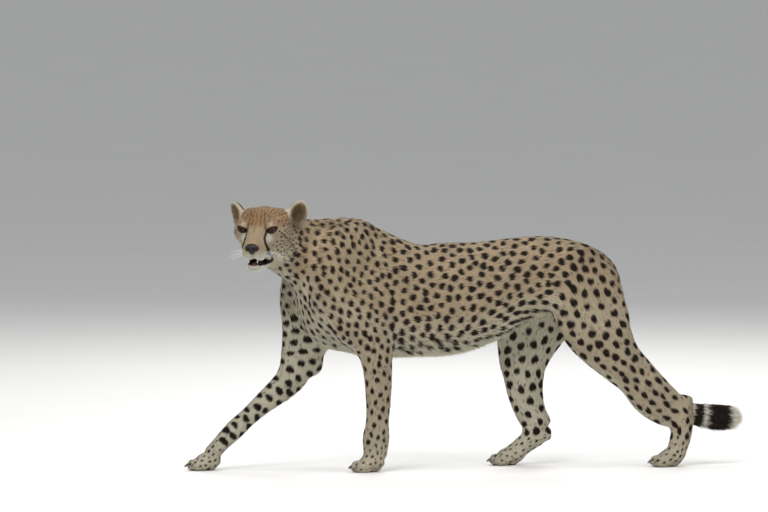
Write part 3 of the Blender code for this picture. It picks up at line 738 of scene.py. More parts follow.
def coatDepth(x, y, z):
    # how far the skin lies under the tips of the coat
    body = .0010 + .0016 * smooth(z, .04, .30)
    f, l, u = ((x - head["at"][0]) * r[0] + (y - head["at"][1]) * r[1] + (z - head["at"][2]) * r[2]
               for r in headTurn)
    share = smooth(np.sqrt((f + .045) ** 2 + l ** 2 + (u + .03) ** 2), .125, .095)
    face = .0008 + .0014 * smooth(np.sqrt((f - .06) ** 2 + l ** 2 + (u + .06) ** 2), .035, .11)
    return body * (1 - share) + face * share


def biggestPiece(points, faces):
    # drops any closed crumb: labels spread along the faces until nothing changes
    label = np.arange(len(points))
    while True:
        least = label[faces].min(1)
        new = label.copy()
        for k in range(faces.shape[1]):
            np.minimum.at(new, faces[:, k], least)
        new = new[new]
        if np.array_equal(new, label):
            break
        label = new
    keep = label == np.bincount(label).argmax()
    number = np.cumsum(keep) - 1
    return points[keep], number[faces[keep[faces[:, 0]]]]


def newMesh(name, points, faces, uv=None, values=None, finish=None):
    # one object from arrays; uv per corner; values are named numbers per point
    points, faces = np.ascontiguousarray(points, np.float32), np.ascontiguousarray(faces, np.int32)
    mesh = bpy.data.meshes.new(name)
    mesh.vertices.add(len(points))
    mesh.vertices.foreach_set("co", points.ravel())
    mesh.loops.add(faces.size)
    mesh.loops.foreach_set("vertex_index", faces.ravel())
    mesh.polygons.add(len(faces))
    mesh.polygons.foreach_set("loop_start", np.arange(0, faces.size, faces.shape[1], dtype=np.int32))
    mesh.update(calc_edges=True)
    mesh.polygons.foreach_set("use_smooth", np.ones(len(faces), bool))
    if uv is not None:
        layer = mesh.uv_layers.new(name="OFBake")
        layer.uv.foreach_set("vector", np.ascontiguousarray(uv, np.float32).ravel())
    for key, value in (values or {}).items():
        mark = mesh.attributes.new(key, "FLOAT", "POINT")
        mark.data.foreach_set("value", np.ascontiguousarray(value, np.float32))
    if finish is not None:
        mesh.materials.append(finish)
    thing = bpy.data.objects.new(name, mesh)
    bpy.context.scene.collection.objects.link(thing)
    return thing


def triangulated(quads):
    # each quad as two triangles
    return np.vstack([quads[:, [0, 1, 2]], quads[:, [0, 2, 3]]])


def fewerFaces(points, quads, wanted):
    # collapses edges on the body, and leaves the head's fine faces
    faces = triangulated(quads)
    print("skin before thinning", len(faces))
    if len(faces) <= wanted:
        return points, faces
    thing = newMesh("thinning", points, faces)
    group = thing.vertex_groups.new(name="body")
    away = np.linalg.norm(headPlace(points) - (-.03, 0, -.03), axis=1)
    group.add(np.nonzero(away > .115)[0].tolist(), 1.0, "REPLACE")
    thin = thing.modifiers.new("thin", "DECIMATE")
    thin.ratio = wanted / len(faces)
    thin.vertex_group = "body"
    thin.use_collapse_triangulate = True
    done = thing.evaluated_get(bpy.context.evaluated_depsgraph_get()).to_mesh()
    co = np.zeros(len(done.vertices) * 3, np.float32)
    done.vertices.foreach_get("co", co)
    corner = np.zeros(len(done.loops), np.int32)
    done.loops.foreach_get("vertex_index", corner)
    bpy.data.objects.remove(thing, do_unlink=True)
    return co.reshape(-1, 3).astype(float), corner.reshape(-1, 3)


def faceNormals(points, faces):
    # cross product of two sides, so as long as twice the area
    return np.cross(points[faces[:, 1]] - points[faces[:, 0]], points[faces[:, 2]] - points[faces[:, 0]])


def pointNormals(points, faces):
    # area-weighted mean of the faces round each point
    n = faceNormals(points, faces)
    out = np.zeros_like(points)
    for k in range(3):
        for c in range(3):
            out[:, c] += np.bincount(faces[:, k], n[:, c], len(points))
    return unitRows(out)


def makeSkin():
    # the body's field, drawn in by the coat's depth, as one closed skin that stands just above the floor
    c, s = skinShape["coarse"], skinShape["fine"]
    field = Field([spread(low, high, c, fineLow, fineHigh, s) for low, high, fineLow, fineHigh in skinGrid])
    buildBody(field)
    shapeFace(field)
    field.d = np.maximum(field.d, np.float32(floorGap["skin"]) - field.axes[2][None, None, :])
    x, y, z = field.axes
    for start in range(0, len(x), 24):
        slab = slice(start, start + 24)
        depth = coatDepth(x[slab, None, None], y[None, :, None], z[None, None, :])
        field.d[slab] += depth.astype(np.float32)
    print("field", field.d.shape)
    points, quads = surfaceNet(untangled(field.d), field.axes)
    points, quads = biggestPiece(points, quads)
    points, faces = fewerFaces(points, quads, skinShape["triangles"])
    points[:, 2] = np.maximum(points[:, 2], floorGap["skin"])
    return points, faces, pointNormals(points, faces)


# spots by place: spacing, half length along the lie, half width
spotKinds = {"crown": (.0092, .0032, .0018), "cheek": (.0112, .0040, .0030), "foot": (.0165, .0046, .0034),
             "tail": (.0260, .0085, .0068), "bars": (.0400, .0095, .0132), "foreleg": (.0235, .0086, .0060),
             "inner": (.0420, .0120, .0098), "thigh": (.0322, .0116, .0102), "shank": (.0275, .0118, .0072),
             "throat": (.0262, .0086, .0074), "shoulder": (.0255, .0094, .0074),
             "flank": (.0298, .0103, .0096)}
# the tail's black rings, measured from the tip of its hair: start and end
tailRings = [(.0390, .0980), (.1110, .1375), (.1480, .1700), (.1850, .2080)]
tailCap = .030  # how far the hair reaches past the last point of the tail's axis
# lines on the face in left and up, half width: the tear line and the corner of the lips
faceLines = [([(.0285, -.0030), (.0268, -.0130), (.0268, -.0230), (.0310, -.0360), (.0362, -.0490),
               (.0370, -.0620), (.0350, -.0740), (.0325, -.0850)], .0027),
             ([(.0325, -.0850), (.0290, -.0930), (.0235, -.0955)], .0020)]
# dotted line from the eye's outer corner down the cheek, in forward and up
cheekLine = [(.0045, -.0050), (-.0046, -.0159), (-.0155, -.0238), (-.0480, -.0360), (-.0850, -.0480),
             (-.1000, -.0620), (-.1070, -.0730)]
cheekDots = 11.5
# streaks of the brow in left and up, with their strength, each broken into dashes
crownLines = [([(.0, -.006), (.0012, .012), (.0, .030)], .45),
              ([(.0255, .002), (.0240, .013), (.0205, .026), (.0190, .042)], 1.0),
              ([(.0125, .010), (.0110, .024), (.0105, .046)], .80),
              ([(.0360, .021), (.0320, .034), (.0290, .047)], .85),
              ([(.0480, .014), (.0450, .026), (.0400, .040)], .55)]
crownDashes = 3.5
fullTurn = 6.28  # radians, near enough for a pattern


# how the spots are thrown: places tried, turns of evening out and how far each goes, crowding, freckles
spotThrow = {"tries": 52000, "turns": 9, "push": 1.35, "crowding": 1.27, "freckles": 1500}
evenSteps = (.7548776662, .5698402910)  # steps that fill a square evenly


def surfacePoints(points, faces, normals, weight, count, rng):
    # evenly drawn places on the skin: steps of equal weight along the faces, then an even place in each face
    a, b, c = (points[faces[:, k]] for k in range(3))
    area = np.linalg.norm(np.cross(b - a, c - a), axis=1) / 2
    run = np.cumsum(area * weight[faces].mean(1))
    pick = np.searchsorted(run, (np.arange(count) + rng.random()) * (run[-1] / count))
    pick = np.minimum(pick, len(faces) - 1)
    k = np.arange(count)
    s, t = (k * evenSteps[0] + rng.random()) % 1, (k * evenSteps[1] + rng.random()) % 1
    over = s + t > 1
    s, t = np.where(over, 1 - s, s)[:, None], np.where(over, 1 - t, t)[:, None]
    place = a[pick] + (b[pick] - a[pick]) * s + (c[pick] - a[pick]) * t
    f = faces[pick]
    normal = unitRows(normals[f[:, 0]] * (1 - s - t) + normals[f[:, 1]] * s + normals[f[:, 2]] * t)
    return place, normal, pick


def treeOf(points):
    # for finding the nearest of many points
    tree = KDTree(len(points))
    for i, p in enumerate(points.tolist()):
        tree.insert(p, i)
    tree.balance()
    return tree


def spotSizes(r):
    # spacing and half sizes of the spots at each point, and how far they stand upright and not along the lie
    h = r["head"]
    fore = np.isin(r["part"], [partNames.index("foreleg_left"), partNames.index("foreleg_right")])
    hind = np.isin(r["part"], [partNames.index("hindleg_left"), partNames.index("hindleg_right")])
    rules = [((r["isHead"] > .5) & (h[:, 2] > .022), "crown"), (r["isHead"] > .5, "cheek"),
             (r["isPaw"] > .5, "foot"), (r["isTail"] > .5, "tail"),
             (fore & (r["z"] < .42) & (r["inner"] > .4), "bars"), (fore & (r["z"] < .34), "foreleg"),
             (hind & (r["inner"] > .4) & (r["z"] < .46), "inner"),
             (hind & (r["z"] < .30), "shank"), (hind, "thigh"),
             ((r["x"] < -.44) | ((r["x"] < -.37) & (r["height"] < .35)), "throat"),
             (r["x"] < -.22, "shoulder")]
    kind = np.select([c for c, _ in rules], range(len(rules)), len(rules))
    table = np.array([spotKinds[name] for _, name in rules] + [spotKinds["flank"]])
    size = table[kind]
    upright = ((kind == 9) | (kind == 10)) * .8 + (kind == len(rules)) * .75 * smooth(r["x"], .10, -.05)
    belly = (kind == len(rules)) * smooth(r["height"], .45, .1)
    size = size * np.stack([1 - .05 * belly, 1 + .25 * belly, 1 - .12 * belly], 1)
    return size[:, 0], size[:, 1], size[:, 2], upright


def bareOfSpots(r, normals):
    # chance that a place has no spot
    h = r["head"]
    inHead = r["isHead"] > .5
    gone = np.zeros(len(h))
    for side in (1, -1):
        d = h - (0, side * head["eye"], 0)
        gone = np.maximum(gone, smooth(np.linalg.norm(d, axis=1), .030, .024))
    front = smooth(np.linalg.norm((h - (.035, 0, -.045)) / (1, .9, 1.15), axis=1), .060, .046)
    gone = np.maximum(gone, inHead * front)
    gone = np.maximum(gone, inHead * smooth(h[:, 2], .034, .026) * smooth(h[:, 2], -.002, .006)
                      * smooth(np.abs(h[:, 1]), .062, .052) * smooth(h[:, 0], -.07, -.05) * .85)
    gone = np.maximum(gone, inHead * r["isEar"])
    gone = np.maximum(gone, inHead * smooth(h[:, 2], -.055, -.070) * smooth(np.abs(h[:, 1]), .045, .035))
    gone = np.maximum(gone, (r["part"] <= 1) * smooth(normals[:, 2], -.78, -.92) * .8)
    gone = np.maximum(gone, r["isTail"] * smooth(r["fromTip"] + tailCap, .235, .215))
    gone = np.maximum(gone, r["isPaw"] * smooth(r["z"], .010, .004))
    return gone


def throwSpots(points, normals, apart, allowed, rng):
    # picks places at random, none nearer to another than `apart`, then evens them out by moving each to the
    # middle of its share; gives the nearest point of each and its place on that point's plane
    tree = treeOf(points)
    blocked = ~allowed
    chosen = []
    for i in rng.permutation(len(points)).tolist():
        if blocked[i]:
            continue
        chosen.append(i)
        for _, j, _ in tree.find_range(points[i], apart[i]):
            blocked[j] = True
    place = points[chosen]
    rows = points.tolist()
    for _ in range(spotThrow["turns"]):
        own = treeOf(place)
        nearest = np.array([own.find(p)[1] for p in rows])
        count = np.maximum(np.bincount(nearest, minlength=len(place)), 1)
        middle = np.stack([np.bincount(nearest, points[:, k], len(place)) / count for k in range(3)], 1)
        place = place + (middle - place) * spotThrow["push"]
    chosen = np.array([tree.find(p)[1] for p in place.tolist()])
    off = np.einsum("ij,ij->i", place - points[chosen], normals[chosen])
    return chosen, place - normals[chosen] * off[:, None]


def makeSpots(points, faces, normals, rng):
    # ink spots, and small brown freckles in the gaps between them
    near = np.linalg.norm(headPlace(points) - (-.03, 0, -.02), axis=1)
    weight = 1 + 6 * smooth(near, .15, .10) + 1.5 * smooth(points[:, 2], .14, .06)
    place, normal, _ = surfacePoints(points, faces, normals, weight, spotThrow["tries"], rng)
    r = regions(place, normal)
    spacing, long, wide, upright = spotSizes(r)
    allowed = rng.random(len(place)) > bareOfSpots(r, normal)
    pick, at = throwSpots(place, normal, spacing / spotThrow["crowding"], allowed, rng)
    keep = bareOfSpots({k: v[pick] for k, v in r.items()}, normal[pick]) < .6
    pick, at = pick[keep], at[keep]
    rise = np.array([0, 0, 1.0]) - normal * normal[:, 2:3]
    facing = np.sign(np.einsum("ij,ij->i", r["flow"], rise) + 1e-9)
    way = r["flow"] * (1 - upright)[:, None] * facing[:, None] + rise * upright[:, None]
    way = unitRows(way)
    across = np.cross(normal, way)
    grow = rng.uniform(.86, 1.13, len(pick))
    spots = {"at": at, "normal": normal[pick], "along": way[pick], "across": across[pick],
             "long": long[pick] * grow * rng.uniform(.90, 1.12, len(pick)), "wide": wide[pick] * grow,
             "phase": rng.uniform(0, fullTurn, (len(pick), 2))}
    away = edgeAway(place, normal, spots)
    free = (away > .0052) & allowed & (r["isHead"] < .5)
    small = rng.permutation(np.nonzero(free)[0])[:spotThrow["freckles"]]
    tiny = rng.uniform(.0012, .0026, len(small))
    dots = {"at": place[small], "normal": normal[small], "along": way[small], "across": across[small],
            "long": tiny * 1.25, "wide": tiny,
            "phase": rng.uniform(0, fullTurn, (len(small), 2))}
    gap = treeOf(at)
    nearest = np.array([gap.find_n(p, 2)[1][2] for p in at.tolist()])
    share = nearest / spacing[pick]
    print("spots", len(pick), "freckles", len(small), "gap over spacing",
          np.percentile(share, [5, 50, 95]).round(2))
    return spots, dots


def edgeAway(points, normals, spots):
    # signed distance to the nearest spot's edge; a spot is an ellipse whose outline wavers with the angle
    out = np.full(len(points), .02)
    tree = treeOf(points)
    columns = [spots[k] for k in ("at", "normal", "along", "across", "long", "wide", "phase")]
    for at, normal, along, across, long, wide, phase in zip(*columns):
        found = tree.find_range(at, long * 1.35 + .006)
        if not found:
            continue
        i = np.array([f[1] for f in found])
        v = points[i] - at
        u, w = v @ along / long, v @ across / wide
        turn = np.arctan2(w, u)
        waver = 1 + .09 * np.sin(2 * turn + phase[0]) + .07 * np.sin(3 * turn + phase[1])
        d = (np.hypot(u, w) / waver - 1) * min(long, wide)
        out[i] = np.minimum(out[i], np.where(normals[i] @ normal > .1, d, .02))
    return out


def openings(points):
    # signed distances from the eye openings and from the mouth's two ellipsoids
    h = headPlace(points)
    eye = np.full(len(points), .05)
    for side in (1, -1):
        v = (points - onHead(0, side * head["eye"], 0)) @ eyeFrame(side).T
        # the upper side of the opening is pushed out by up to .0022, so the black rim and the bare lid above
        # are wider: the black lid plus painted shadow under the upper lid
        lids = almondAway(v[:, 1], v[:, 2]) - .0022 * smooth(v[:, 2], .0, .004)
        eye = np.where((np.linalg.norm(v, axis=1) < .030) & (v[:, 0] > 0), lids, eye)
    cuts = []
    for (f, l, u), (a, b, c), _ in faceCuts[:2]:
        slot = np.sqrt(((h[:, 0] - f) / a) ** 2 + ((h[:, 1] - l) / b) ** 2 + ((h[:, 2] - u) / c) ** 2)
        cuts.append((slot - 1) * c)
    return eye, np.minimum(*cuts)


def markings(points, normals, r, spots, dots, ragged=None):
    # the coat's colour shares at each point, 0 to 1: pale, rust, white, ink and freckle
    h = r["head"]
    f, l, u = h[:, 0], np.abs(h[:, 1]), h[:, 2]
    x, z, height = r["x"], r["z"], r["height"]
    inHead, isBody = r["isHead"], (r["part"] <= 1) * (1 - r["isHead"])
    isLeg = r["isLeg"] * (1 - inHead)
    wobble = 0 if ragged is None else ragged
    # pale below: belly, chest, inner sides and feet, underside of the tail
    pale = isBody * np.maximum(.80 * smooth(height, .46, .02), .95 * smooth(normals[:, 2], -.35, -.8))
    pale = np.maximum(pale, isBody * smooth(x, -.40, -.47) * smooth(height, .75, .35) * .75)
    pale = np.maximum(pale, isLeg
                      * np.maximum(.90 * r["inner"], .30 * smooth(z, .57, .42) + .35 * smooth(z, .16, .05)))
    pale = np.maximum(pale, isLeg * smooth(normals[:, 2], -.25, -.7) * smooth(z, .08, .12) * .85)
    pale = np.maximum(pale, r["isTail"] * (.35 + .5 * smooth(normals[:, 2], .1, -.6)))
    # the face: cheek, patches under and over the eye, white muzzle and chin
    cheek = .34 * smooth(u, -.006, -.040) * smooth(f, .030, .0) + .30 * smooth(u, -.05, -.08)
    underEye = .85 * bell(np.hypot(l - .0365, (u + .0215) * .9), 0, .0100)
    overEye = .50 * bell(np.hypot((l - .040) * .7, u - .0150), 0, .0058)
    muzzle = smooth(u, -.050, -.070) * smooth(f, -.01, .02)
    face = np.maximum.reduce([cheek, underEye, overEye, muzzle])
    pale = pale * (1 - inHead) + inHead * np.clip(face, 0, 1)
    white = inHead * np.maximum.reduce([muzzle * smooth(u, -.056, -.074) * .9,
                                        smooth(u, -.094, -.100) * smooth(f, -.03, .0), underEye * .45])
    # rusty back, crown and bridge of the nose, and the stripe down the heel
    nose = inHead * smooth(f, .0, .03) * smooth(u, -.060, -.045)
    rust = isBody * .10 * smooth(height, .62, 1.0)
    crown = np.maximum(.95 * smooth(u, -.004, .018), .22 * nose) * (1 - overEye)
    rust = rust * (1 - inHead) + inHead * np.clip(crown, 0, 1)
    stripe = (smooth(normals[:, 0], .25, .7) * smooth(x, .600, .622) * smooth(z, .20, .17)
              * (r["legSide"] < 0) * isLeg)
    rust = np.maximum(rust, stripe * .9)
    ink = np.zeros(len(f))
    freckle = np.zeros(len(f))
    # ears: dark patch on the back, darker inside the cup, pale rim
    for side in (1, -1):
        e = r["ear%+d" % side]
        isEar = smooth(earAway(e), 1.15, .95) * inHead
        _, axes = earFrame(side)
        facing = normals @ axes[0]
        back = isEar * smooth(facing, -.05, -.35)
        ink = np.maximum(ink, back * smooth(e[:, 2], -.004, .010) * smooth(e[:, 2], .046, .036) * .93)
        rim = np.sqrt((e[:, 1] / .0285) ** 2 + ((e[:, 2] - .012) / .0435) ** 2)
        # inside of the cup darkened: partly its own dusky hair, partly painted shade in the hollow, full on
        # the left ear and half on the right
        cupHairAndShade = isEar * smooth(facing, .0, .3) * smooth(rim, .93, .70) * (.75 + .25 * side)
        freckle = np.maximum(freckle, cupHairAndShade * .45)
        ink = np.maximum(ink, cupHairAndShade * (.34 + .34 * smooth(rim, .75, .4)))
        edge = isEar * smooth(rim, .72, .95) * smooth(facing, -.5, .0) * smooth(e[:, 2], -.016, .018)
        pale = np.maximum(pale, edge * .62)
        rust = rust * (1 - edge * .75)
    # lines of the face
    flat = np.stack([l, u], 1)
    for line, half in faceLines:
        d, _ = lineAway(flat, line)
        ink = np.maximum(ink, inHead * smooth(d + wobble, half + .0007, half - .0005)
                         * smooth(f, -.034, -.026))
    d, s = lineAway(np.stack([f, u], 1), cheekLine)
    dash = .5 + .5 * np.cos(s * fullTurn * cheekDots)
    ink = np.maximum(ink, inHead * smooth(d + wobble, .0030, .0014) * smooth(dash, .2, .5)
                     * smooth(l, .046, .054))
    for line, share in crownLines:
        d, s = lineAway(flat, line)
        dash = .60 + .40 * smooth(np.cos(s * fullTurn * crownDashes + line[0][0] * 199), -.4, .4)
        freckle = np.maximum(freckle,
                             inHead * smooth(d + wobble, .0030, .0012) * share * dash
                             * smooth(f, -.075, -.055))
    # rims of the eyes, wider above with painted shadow under the upper lid, and of the lips; rows of dots at
    # the whiskers
    eye, mouth = openings(points)
    ink = np.maximum(ink, inHead * smooth(eye, .0036, .0022))
    # black lips, and the walls of the mouth's cut painted black: partly black lip skin, partly painted shade
    # inside the mouth
    ink = np.maximum(ink, inHead * smooth(mouth, .0030, .0018))
    pads = inHead * (f > .036) * bell(l, .0215, .011)
    for row in (-.0600, -.0660, -.0720):
        dotAway = np.hypot(u - row, (f * 260 % 1 - .5) * .0038)
        ink = np.maximum(ink, pads * smooth(dotAway, .0011, .0006) * .55)
    # tail rings, black soles
    tip = r["fromTip"] + tailCap + wobble
    isEnd = r["isTail"] * smooth(tip, .215, .200)
    rings = np.zeros(len(f))
    for low, high in tailRings:
        rings = np.maximum(rings, smooth(tip, low - .0015, low + .0015)
                           * smooth(tip, high + .0015, high - .0015))
    ink = np.maximum(ink, r["isTail"] * rings)
    white = np.maximum(white, r["isTail"] * smooth(tip, .150, .080) * .8)
    pale = np.maximum(pale, isEnd * .8)
    soles = (normals[:, 2] < -.75) & (z < .006)
    ink = np.maximum(ink, soles * .9)
    # spots, brown on the crown, and the freckles between them
    inkAway = edgeAway(points, normals, spots) + wobble
    soft = smooth(inkAway, .0009, -.0009)
    brown = inHead * smooth(u, .008, .020)
    ink = np.maximum(ink, soft * (1 - .45 * brown))
    freckle = np.maximum(freckle, soft * brown)
    freckle = np.maximum(freckle, .80 * smooth(edgeAway(points, normals, dots) + wobble, .0006, -.0006))
    return {"pale": pale, "rust": rust, "white": white, "ink": np.clip(ink, 0, 1),
            "freckle": np.clip(freckle, 0, 1)}


# the coat's map: one flat view per body part and side, larger for head and paws
mapShape = {"head": 1.8, "paw": 1.3, "gap": .005, "patch": .0015}


def makeCharts(points, faces, r):
    # each face's chart is its body part and the axis it faces most; charts lie in rows in the unit square
    normal = unitRows(faceNormals(points, faces))
    first = faces[:, 0]
    group = r["part"][first].copy()
    group[(r["isPaw"][first] > .5)] += 10
    isHead = (r["isHead"][first] > .5) & (r["part"][first] <= 1)
    group[isHead] = 20
    for k, side in enumerate((1, -1)):
        e = r["ear%+d" % side][first]
        group[isHead & (earAway(e) < 1.05)] = 21 + k
    turned = np.where((group >= 20)[:, None], normal @ headTurn.T, normal)
    axis = np.abs(turned).argmax(1)
    key = group * 6 + axis * 2 + (np.take_along_axis(turned, axis[:, None], 1)[:, 0] > 0)
    names, chart = np.unique(key, return_inverse=True)
    charts = []
    for k, name in enumerate(names):
        frame3 = headTurn if name // 6 >= 20 else np.eye(3)
        rows = np.delete(frame3, name % 6 // 2, 0)
        scale = mapShape["head"] if name // 6 >= 20 else mapShape["paw"] if name // 6 >= 10 else 1.0
        flat = points[faces[chart == k]].reshape(-1, 3) @ rows.T * scale
        charts.append([rows * scale, flat.min(0), np.ptp(flat, 0)])
    order = sorted(range(len(charts)), key=lambda k: -charts[k][2][1])
    size = .9
    while True:
        # rows of charts, tallest first; all shrink together until the last row fits
        x, y, tall = mapShape["gap"], mapShape["gap"], 0
        spot = {}
        for k in order:
            w, h = charts[k][2] * size
            if x + w + mapShape["gap"] > 1:
                x, y, tall = mapShape["gap"], y + tall + mapShape["gap"], 0
            spot[k] = (x, y)
            x, tall = x + w + mapShape["gap"], max(tall, h)
        if y + tall + mapShape["gap"] <= 1:
            break
        size *= .985
    turn = np.array([c[0] * size for c in charts])
    move = np.array([np.array(spot[k]) - charts[k][1] * size for k in range(len(charts))])
    print("charts", len(charts), "scale", round(size, 3))
    return chart, turn, move


def mapPlace(points, chart, turn, move):
    # places in the map: each point turned and moved as its chart is
    return np.einsum("ijk,ik->ij", turn[chart], points) + move[chart]


# length, width and spacing of the tufts by place, metres
tuftShape = {"body": (.0120, .00190, .00215), "neck": (.0140, .00190, .00215),
             "belly": (.0180, .0019, .0024), "leg": (.0090, .00150, .00190), "paw": (.0058, .00110, .00150),
             "head": (.0056, .00100, .00122), "muzzle": (.0034, .00078, .00105),
             "ear": (.0060, .00090, .00115), "tail": (.0120, .00170, .00190),
             "tip": (.0150, .00170, .00170)}
# how they lie: sway from side to side, how high the tip rises within the coat and the steepest it may be,
# how far the root's corners are lifted and the third one sunk, and where along it the colour is taken
tuftLie = {"sway": .13, "rise": (.62, 1.05), "steep": .62, "lift": .35, "sink": .0003, "look": .55}
# the numbers of layers, of tufts in each and of long locks, and those of a rough draft
coatAmounts = {"layers": 6, "tufts": 47500, "locks": 14000, "draftLayers": 2, "draftLocks": 9000}


def tuftSizes(r, normals):
    # rows of length, width and spacing, blended between places
    def pick(name):
        # one row of the table
        return np.array(tuftShape[name])[None, :]

    def over(old, name, share):
        # the old sizes gone over to those of a place by the share
        return old + (pick(name) - old) * share[:, None]

    isBody = (r["part"] <= 1) * 1.0
    size = np.repeat(pick("body"), len(r["x"]), 0)
    size = over(size, "neck", isBody * smooth(r["x"], -.30, -.42))
    size = over(size, "belly", isBody * smooth(normals[:, 2], -.4, -.85) * smooth(r["x"], -.38, -.30))
    size = over(size, "leg", r["isLeg"] * smooth(r["z"], .46, .34))
    size = over(size, "paw", r["isPaw"])
    size = over(size, "tail", r["isTail"])
    size = over(size, "tip", r["isTail"] * smooth(r["fromTip"], .030, .0))
    size = over(size, "head", r["isHead"])
    size = over(size, "muzzle", r["isMuzzle"])
    nearEye = np.minimum(*(np.linalg.norm(r["head"] - (0, s * head["eye"], 0), axis=1) for s in (1, -1)))
    size = over(size, "muzzle", smooth(nearEye, .034, .022) * r["isHead"])
    return over(size, "ear", r["isEar"])


def bareSkin(points, normals, r):
    # share of a place's tufts that is left out: lids, mouth, nose pad and soles
    eye, mouth = openings(points)
    inHead = r["isHead"]
    gone = inHead * smooth(eye, .0022, .0010)
    gone = np.maximum(gone, inHead * smooth(mouth, .0012, .0002))
    h = r["head"]
    d = (h - nosePlace) / (.0125, .0195, .0125)
    gone = np.maximum(gone, inHead * smooth(np.linalg.norm(d, axis=1), 1.12, 1.0))
    gone = np.maximum(gone, (normals[:, 2] < -.8) * (r["z"] < .004))
    return gone


def makeTufts(name, place, normal, chart, r, sizes, spots, dots, unwrap, rng):
    # each tuft is a closed thin wedge: two root corners across the lie, one under the skin, and the tip
    n = len(place)
    turn = rng.normal(0, tuftLie["sway"], n)
    side = np.cross(normal, r["flow"])
    way = r["flow"] * np.cos(turn)[:, None] + side * np.sin(turn)[:, None]
    long = sizes[:, 0] * rng.uniform(.80, 1.18, n)
    wide = sizes[:, 1] * rng.uniform(.80, 1.20, n)
    depth = coatDepth(*place.T)
    rise = np.clip(depth * rng.uniform(*tuftLie["rise"], n) / long, .05, tuftLie["steep"])
    tip = way * np.sqrt(1 - rise ** 2)[:, None] + normal * rise[:, None]
    across = np.cross(normal, way) * (wide / 2)[:, None]
    lift = normal * (depth * tuftLie["lift"])[:, None]
    corner = np.stack([place + lift + across, place + lift - across, place - normal * tuftLie["sink"],
                       place + tip * long[:, None]], 1)
    corner[..., 2] = np.maximum(corner[..., 2], floorGap["hair"])
    k = np.arange(n)[:, None] * 4
    faces = np.stack([k + (0, 1, 3), k + (1, 2, 3), k + (2, 0, 3), k + (1, 0, 2)], 1).reshape(-1, 3)
    look = place + way * (long * tuftLie["look"])[:, None]
    marks = markings(look, normal, r, spots, dots, rng.normal(0, .00045, n))
    values = {key: np.repeat(v, 4) for key, v in marks.items()}
    own = rng.uniform(.84, 1.14, n)
    # each tuft's own random tone; the root corners painted in shade (.80, and .74 for the one under the
    # skin), the tip lighter at 1.10, partly the hair's paler tip and partly painted depth
    values["toneAndRootShade"] = (own[:, None] * (.80, .80, .74, 1.10)).ravel()
    uv = mapPlace(place, chart, *unwrap)
    p = mapShape["patch"]
    uv = uv[:, None, :] + np.array([(-p, -p), (p, -p), (0, 0), (0, p)])
    thing = newMesh(name, corner.reshape(-1, 3) - shift, faces, uv.reshape(-1, 2)[faces.ravel()], values,
                    coat)
    lean = unitRows(normal * .80 + tip * .20)
    own = unitRows(np.stack([lean * .86 + across / wide[:, None], lean * .86 - across / wide[:, None], lean,
                             lean], 1).reshape(-1, 3))
    lie = thing.data.attributes.new("custom_normal", "FLOAT_VECTOR", "POINT")
    lie.data.foreach_set("vector", own.astype(np.float32).ravel())
    return thing


# eyes and nose pad: sizes in metres, angles in degrees from the axis of sight
eyeShape = {"radius": .0165, "cornea": .0011, "irisAngle": 33, "pupilAngle": 13,
            "iris": (.050, .028, .013, 1), "rim": (.030, .014, .006, 1), "white": (.020, .012, .009, 1),
            "pupil": (.002, .002, .002, 1)}
noseShape = {"half": (.0124, .0200, .0112), "reach": .027, "colour": (.014, .011, .010, 1), "step": .00055}


def gridFaces(rows, columns):
    # quads between rows of points; each row closes on itself
    i, j = np.meshgrid(np.arange(rows - 1), np.arange(columns), indexing="ij")
    k = (j + 1) % columns
    quads = np.stack([i * columns + j, i * columns + k, (i + 1) * columns + k, (i + 1) * columns + j], -1)
    return quads.reshape(-1, 4)


def makeEye(name, side, node):
    # a ball with the cornea's bulge round the axis of sight
    rows, around = 72, 96
    angle = np.linspace(0, np.pi, rows)[1:-1, None]
    turn = np.linspace(0, 2 * np.pi, around, endpoint=False)[None, :]
    radius = eyeShape["radius"] + eyeShape["cornea"] * smooth(np.degrees(angle), 40, 16)
    local = np.stack([radius * np.cos(angle) + 0 * turn, radius * np.sin(angle) * np.cos(turn),
                      radius * np.sin(angle) * np.sin(turn)], -1).reshape(-1, 3)
    local = np.vstack([local, [[eyeShape["radius"] + eyeShape["cornea"], 0, 0],
                               [-eyeShape["radius"], 0, 0]]])
    quads = gridFaces(rows - 2, around)
    j = np.arange(around)
    k = (j + 1) % around
    last = (rows - 3) * around
    front = np.stack([j * 0 + len(local) - 2, k, j], 1)
    back = np.stack([j * 0 + len(local) - 1, last + j, last + k], 1)
    faces = np.vstack([triangulated(quads), front, back])
    axes = eyeFrame(side)
    look = unit(axes[0] + gazeTurn[side] @ headTurn)
    out = np.cross(headTurn[2], look)
    basis = np.stack([look, unit(out), np.cross(look, unit(out))])
    points = onHead(0, side * head["eye"], 0) + local @ basis
    middle = points[faces].mean(1) - onHead(0, side * head["eye"], 0)
    normal = faceNormals(points, faces)
    if np.einsum("ij,ij->i", middle, normal).sum() < 0:
        faces = faces[:, ::-1]
    gaze = np.degrees(np.arctan2(np.hypot(local[:, 1], local[:, 2]), local[:, 0]))
    thing = newMesh(name, points - shift, faces,
                    values={"gaze": gaze, "around": np.degrees(np.arctan2(local[:, 2], local[:, 1]))},
                    finish=eyeFinish)
    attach(thing, "root")
    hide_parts(node)


